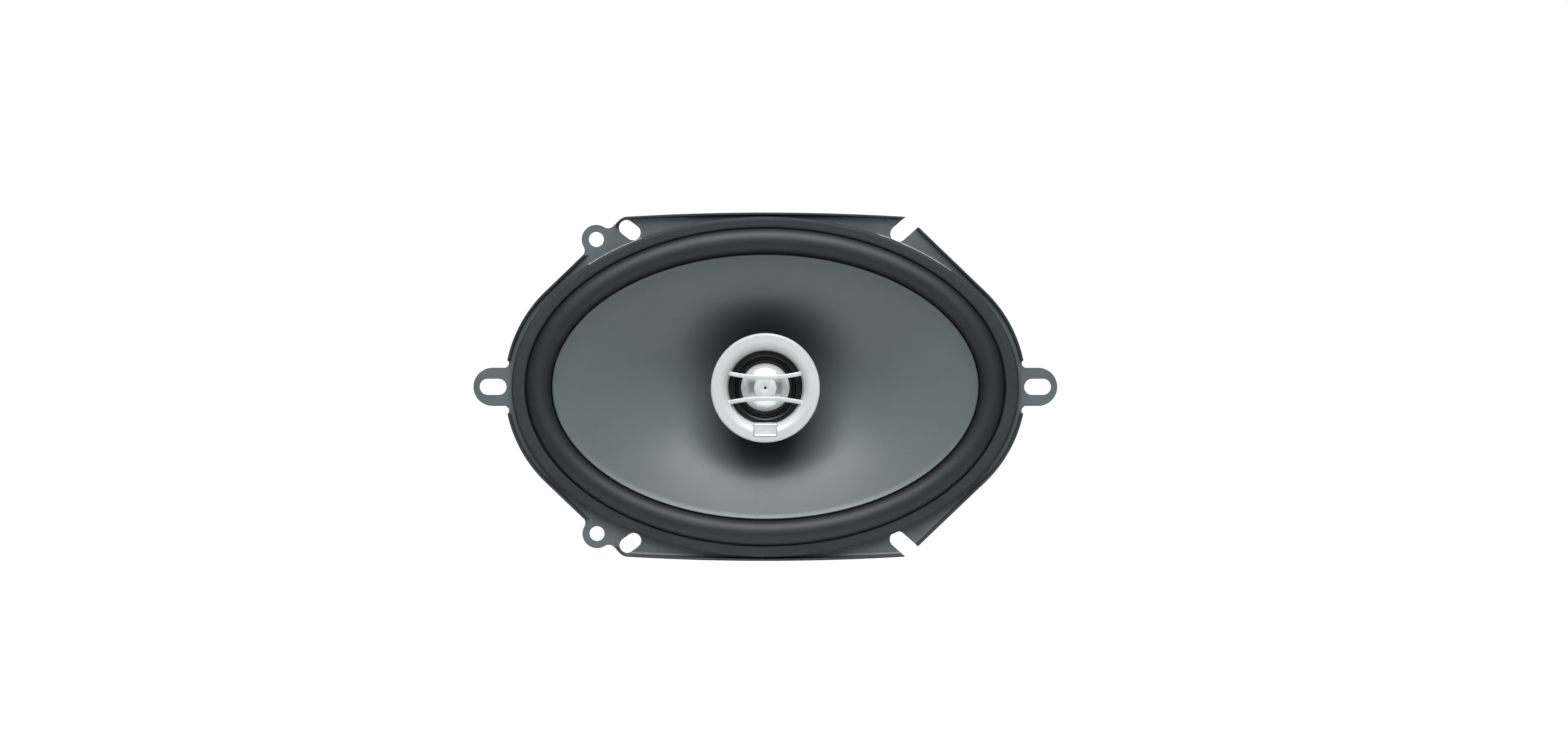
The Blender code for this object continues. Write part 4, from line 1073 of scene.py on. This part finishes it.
def post_and_nut():
    post, nut = BOX["tweeter_post"], BOX["post_nut"]
    low, high = COLLAR_SEAT, FLANGE_FRONT
    outside = [(POST_RADIUS, low), (COLLAR_RADIUS, low), (COLLAR_RADIUS, low + 2), (POST_WAIST, low + 3.5)]
    outside += [(POST_WAIST, high - 3.5), (FLANGE_RADIUS, high - 2), (FLANGE_RADIUS, high)]
    outside += [(POST_RADIUS, high), (POST_RADIUS, post.front)]
    section = [(3.7, post.rear)]
    for k in range(THREAD_TURNS):
        start = post.rear + 0.3 + THREAD_PITCH * k
        section += [(3.65, start), (POST_RADIUS, start + THREAD_PITCH / 2)]
    section += eased(outside, 0.4, 3, closed=False)
    section += [(POST_BORE, post.front), (POST_BORE, post.rear)]
    piece("post_tube", turned(section, 64), "zinc_plating", "tweeter_post", angle=40)

    outline = circle((0, 0), nut.x, 6)
    chamfered = stacked(
        lambda inset: [(x * (1 - inset), y * (1 - inset)) for x, y in outline],
        [(0.07, nut.rear), (0, nut.rear + 0.35), (0, nut.front - 0.35), (0.07, nut.front)],
    )
    steps = [("DIFFERENCE", prism(circle((0, 0), NUT_BORE, 48), nut.rear - 1, nut.front + 1))]
    piece("hex_nut", chamfered, "zinc_plating", "post_nut", steps=steps)


# ---- tweeter

CUP_FLOOR = -8.6
GLAND_RADIUS = 4.3  # of the cup's hole for the post
FLARE_RIDGE = 20.0  # radius at which the bezel is highest
BEZEL_HOLLOW = 8.9  # height of the roof inside the bezel's ring
BAR_END = (15.6, 6.1)
BAR_MIDDLE = 4.3
BAR_FRONT = 9.2
BAR_DROP = 1.1  # of a bar's ends below its middle
BAR_HALF = (0.85, 0.62)
BADGE_SLOPE = 0.12  # fall of the plaque's face for each millimetre up it
PINHOLE = 0.6
DISC_REAR = 8.7
DOME_RADIUS, DOME_HEIGHT, DOME_BASE = 9.75, 4.4, 3.0
RIM_RADIUS = 10.6
ROLLS_START, ROLLS_WIDTH, ROLLS_HEIGHT = 10.3, 2.3, 0.62  # of the suspension's two small rolls
TWEETER_COIL_BORE = 9.5
YOKE_BORE, YOKE_FLOOR = 10.6, -4.7
SUPPORT_BORE = 12.2
FACE_BORE = 12.5


def tweeter_housing():
    box = BOX["tweeter_housing"]
    radius = box.x - 0.2
    outside = [(GLAND_RADIUS, box.rear), (10.5, box.rear), (15.5, -8.2), (19.6, -4.0), (21.4, 0.5)]
    outside += [(radius, 2.5), (radius, box.front)]
    inside = [(radius - 0.9, box.front), (radius - 0.9, 1.2), (18.4, -3.2), (14.9, -6.6)]
    inside += [(12.8, CUP_FLOOR), (GLAND_RADIUS, CUP_FLOOR)]
    section = eased(outside + inside, 1.2, 4)
    piece("tweeter_cup", turned(section), "black_plastic", "tweeter_housing")


def guard_bar(side, steps=48):
    """A bar that curves away from the axis and falls back toward its ends."""
    end_x, end_y = BAR_END
    route = []
    for k in range(steps + 1):
        x = -end_x + 2 * end_x * k / steps
        share = (x / end_x) ** 2
        y = BAR_MIDDLE + (end_y - BAR_MIDDLE) * share
        route.append(Vector((x, side * y, BAR_FRONT - BAR_DROP * share**2)))
    return swept(route, rounded_rectangle(*BAR_HALF, 0.35, steps=5))


def tweeter_bezel():
    """The flared ring with its two curved bars and centre disc, one moulding."""
    box = BOX["tweeter_bezel"]
    seat, front, radius = box.rear, box.front, box.x - 0.3
    flare = [(radius, 10.1), (radius - 0.15, 10.6), (radius - 0.5, 10.95), (FLARE_RIDGE, front)]
    flare += [(18.4, 11.0), (17.2, 10.6), (16.3, 9.7), (15.6, 8.2), (15.05, seat)]
    outside = [(radius, seat), (radius, 9.7), *flowing(flare, 6)]
    inside = [(16.5, seat), (17.6, 8.0), (18.8, BEZEL_HOLLOW), (20.2, BEZEL_HOLLOW)]
    inside += [(21.2, 8.0), (21.4, seat)]
    disc = [(PINHOLE, DISC_REAR), (4.2, DISC_REAR), (4.6, 9.1), (4.55, 9.45), (4.2, 9.66)]
    disc += [(2.5, 9.74), (PINHOLE + 0.15, 9.76), (PINHOLE, 9.66)]
    badge = BOX["bezel_badge"]
    centre = (0, badge.cy)
    block = rounded_rectangle(badge.x + 0.1, badge.y + 0.1, 0.7, centre)
    pocket = rounded_rectangle(badge.x - 0.12, badge.y - 0.12, 0.6, centre)
    steps = [
        ("UNION", guard_bar(-1)),
        ("UNION", guard_bar(1)),
        ("UNION", turned(disc, 96)),
        ("UNION", prism(block, 7.6, badge.rear + 0.3)),
        ("DIFFERENCE", prism(pocket, badge.rear - 0.1, front + 2)),
    ]
    moulding = turned(outside + inside)
    piece("bezel_moulding", moulding, "silver_plastic", "tweeter_bezel", steps=steps, angle=38)
    # A black plug behind the pinhole: painted shade that keeps the hole dark
    low, high, reach = DISC_REAR + 0.05, DISC_REAR + 0.35, PINHOLE - 0.05
    plug = turned([(0, low), (reach, low), (reach, high), (0, high)], 32)
    piece("pinhole_shade_plug", plug, "black_plastic")


def bezel_badge():
    """A blank plaque with a raised rounded border, whose face slopes with the flare behind it."""
    box = BOX["bezel_badge"]
    half_x, half_y, top = box.x - 0.22, box.y - 0.22, box.front - 0.35

    def outline(inset):
        return rounded_rectangle(half_x - inset, half_y - inset, max(0.2, 0.6 - inset), (0, box.cy))

    levels = [(0, box.rear), (0, top - 0.3), (0.08, top - 0.09), (0.25, top), (0.4, top)]
    levels += [(0.5, top - 0.06), (0.6, top - 0.16), (0.9, top - 0.2)]
    body = stacked(outline, levels)
    low_edge = box.cy - half_y
    body.points = [
        (x, y, z - BADGE_SLOPE * (y - low_edge) if z > box.rear + 0.1 else z) for x, y, z in body.points
    ]
    piece("badge_plaque", body, "badge_plastic", "bezel_badge")


def dome_point(share, drop=0.0):
    """Radius and height of the dome, from its edge at share 0 to its crown at 1."""
    sphere = (DOME_RADIUS**2 + DOME_HEIGHT**2) / (2 * DOME_HEIGHT)
    lean = math.asin(DOME_RADIUS / sphere) * (1 - share)
    height = DOME_BASE + DOME_HEIGHT - sphere + (sphere - drop) * math.cos(lean)
    return (sphere - drop) * math.sin(lean), height


def tweeter_diaphragm():
    shares = [k / 24 for k in range(24)]
    outside, inside = (
        [dome_point(share, drop) for share in shares] + [(0, dome_point(1, drop)[1])] for drop in (0.0, 0.4)
    )
    rim = [(RIM_RADIUS, 2.66), (RIM_RADIUS, 2.96)]
    body = turned(inside[::-1] + rim + outside, 120)
    piece("dome_shell", body, "dome_metal", "tweeter_dome", on="dome_assembly", angle=40)
    layers = washer(BOX["tweeter_voice_coil"], TWEETER_COIL_BORE, 0.15, 3)
    piece("tweeter_coil_layers", layers, "coil_copper", "tweeter_voice_coil", on="dome_assembly")

    half, mid = 0.16, 3.3
    profile = [(9.85, mid, 1.0), (10.2, mid, 1.0)]
    for k in range(33):
        share = k / 32
        rise = ROLLS_HEIGHT * math.sin(math.tau * share) ** 2
        profile.append((ROLLS_START + ROLLS_WIDTH * share, mid + rise, 1 - smooth(share)))
    profile += [(12.7, mid, 0.0), (14.0, mid, 0.0)]
    sheet("suspension_ring", profile, half, "black_plastic", "tweeter_suspension", "dome_assembly")


def tweeter_motor():
    cup, face = BOX["tweeter_yoke_cup"], BOX["tweeter_faceplate"]
    section = [(0, cup.rear), (cup.x, cup.rear), (cup.x, cup.front)]
    section += [(YOKE_BORE, cup.front), (YOKE_BORE, YOKE_FLOOR), (0, YOKE_FLOOR)]
    body = turned(eased(section, 0.5, 4, closed=False))
    piece("yoke_cup", body, "zinc_plating", "tweeter_yoke_cup")
    for name, old, bore, radius, slot in (
        ("tweeter_magnet_disc", "tweeter_magnet", 0, 0.3, "magnet_plating"),
        ("pole_plate_disc", "tweeter_pole_plate", 0, 0.3, "zinc_plating"),
        ("support_ring", "tweeter_support_ring", SUPPORT_BORE, 0.25, "black_plastic"),
    ):
        piece(name, washer(BOX[old], bore, radius, 3), slot, old)
    low = face.front - 0.2  # floor of the groove round the faceplate
    section = [(face.x, face.rear), (face.x, face.front), (15.0, face.front), (14.8, low), (14.3, low)]
    section += [(14.1, face.front), (13.2, face.front), (FACE_BORE, face.front - 0.4)]
    section.append((FACE_BORE, face.rear))
    body = turned(eased(section, 0.15, 3))
    piece("faceplate_ring", body, "black_plastic", "tweeter_faceplate")


# ---- terminals and wires


def terminals():
    inner, outer, half_width, thickness = BOARD
    low, top = BOARD_GAP, BOARD_GAP + thickness
    middle, half = (inner + outer) / 2, (outer - inner) / 2

    def board_outline(inset):
        return rounded_rectangle(half - inset, half_width - inset, 1.6 - inset, (middle, 0))

    board = stacked(board_outline, [(0.12, low), (0, low + 0.12), (0, top - 0.12), (0.12, top)])
    holes = prisms([circle((x, 0), EYELET_HOLE, 32) for x in EYELETS], low - 1, top + 1)
    steps = [("DIFFERENCE", holes.mesh("holes", seated))]
    piece("fibre_board", board, "board_fibre", "terminal_board", steps=steps, place=seated)
    seat = top + 0.3
    for number, x in enumerate(EYELETS, start=1):
        names = f"eyelet_{number}", f"board_rivet_{number}"
        rivet(*names, (x, 0), 1.1, 2.2, -2.3, seat, top + 1.3, "terminal_tin", seated)
    for word, side, width in (("positive", -1, 6.3), ("negative", 1, 4.8)):
        blade(word, side * BLADE_SIDE, width, seat)


def blade(word, y, width, seat):
    """A blade terminal that lies on the board and turns up, with an eye through it."""
    bend = BLADE_BEND
    route = [(3.0, y, seat + 0.4), (bend, y, seat + 0.4), (bend, y, seat + BLADE_HEIGHT)]
    tab = swept(routed(route, 1.0), rounded_rectangle(width / 2, 0.39, 0.14, steps=3))
    eye = Body()
    ring = circle((0, 0), 0.9, 24)
    loops = [eye.loop([(x, y + u, seat + 7 + v) for u, v in ring]) for x in (bend - 2.6, bend + 2.4)]
    steps = [("DIFFERENCE", eye.ends(loops).mesh("eye", seated))]
    piece(f"{word}_blade", tab, "terminal_tin", f"{word}_terminal", steps=steps, place=seated)


def capacitor():
    """A bipolar electrolytic in its shrunk sleeve, with a crimped end, lying across the board."""
    height = BOARD_GAP + BOARD[3] + 0.3 + CAPACITOR_RADIUS
    section = [(0, -7.7), (2.9, -7.7), (3.1, -8), (3.6, -8), (4, -7.6), (4, -5.6), (3.55, -5.3)]
    section += [(3.55, -4.9), (4, -4.6), (4, 7.6), (3.6, 8), (3.1, 8), (2.9, 7.7), (0, 7.7)]
    body = turned(eased(section, 0.25, 3, closed=False), 72)

    def lying(point):
        return seated((point[0] + CAPACITOR_PLACE, -point[2], point[1] + height))

    piece("capacitor_can", body, "capacitor_sleeve", "crossover_capacitor", place=lying)


WIRE_REAR = -60.8  # where the tweeter's wires run in the back plate's groove
WIRE_SIDE, WIRE_RADIUS, LEAD_RADIUS = 0.8, 0.6, 0.5


def routed(points, radius):
    return eased(points, radius, 6, closed=False)


def wires():
    for word, side in (("positive", 1), ("negative", -1)):
        y = side * WIRE_SIDE
        route = [(11.9, side * 5.9, 0.6), (11.6, side * 5.6, -7.2), (6.0, side * 2.8, -7.4)]
        route += [(0.0, y, -7.4), (0.0, y, WIRE_REAR), (43.3, y, WIRE_REAR)]
        route += [(43.3, y, -36.0), (47.0, side * 2.4, -33.6)]
        route.append((51.0, side * 3.4, -32.9))
        body = swept(routed(route, 1.6), circle((0, 0), WIRE_RADIUS, 16))
        slot = "red_insulation" if side > 0 else "black_insulation"
        piece(f"tweeter_lead_{word}", body, slot, f"tweeter_wire_{word}", angle=50)

        lead = [(67.6, side * 10.6, -25.4), (65.0, side * 13.6, -26.6), (60.0, side * 17.0, -25.9)]
        lead += [(54.0, side * 18.0, -24.0), (46.0, side * 16.0, -21.5), (34.0, side * 12.0, -20.8)]
        lead += [(23.5, side * 8.2, -23.6), (14.4, side * 4.8, -26.6)]
        spots = flowing(lead, 10)
        section = circle((0, 0), LEAD_RADIUS, 12)
        body = swept(spots, section)
        name = f"braided_lead_{word}"
        obj = piece(name, body, "woven_copper", f"tinsel_lead_{word}", on=None, angle=50)
        flexing(obj)


set_camera()
studio()
studio_floor()
MATERIALS = make_materials()
basket_frame()
front_gasket()
woofer_cone()
surround()
spider()
coil()
motor()
rivets()
post_and_nut()
tweeter_housing()
tweeter_bezel()
bezel_badge()
tweeter_diaphragm()
tweeter_motor()
terminals()
capacitor()
wires()
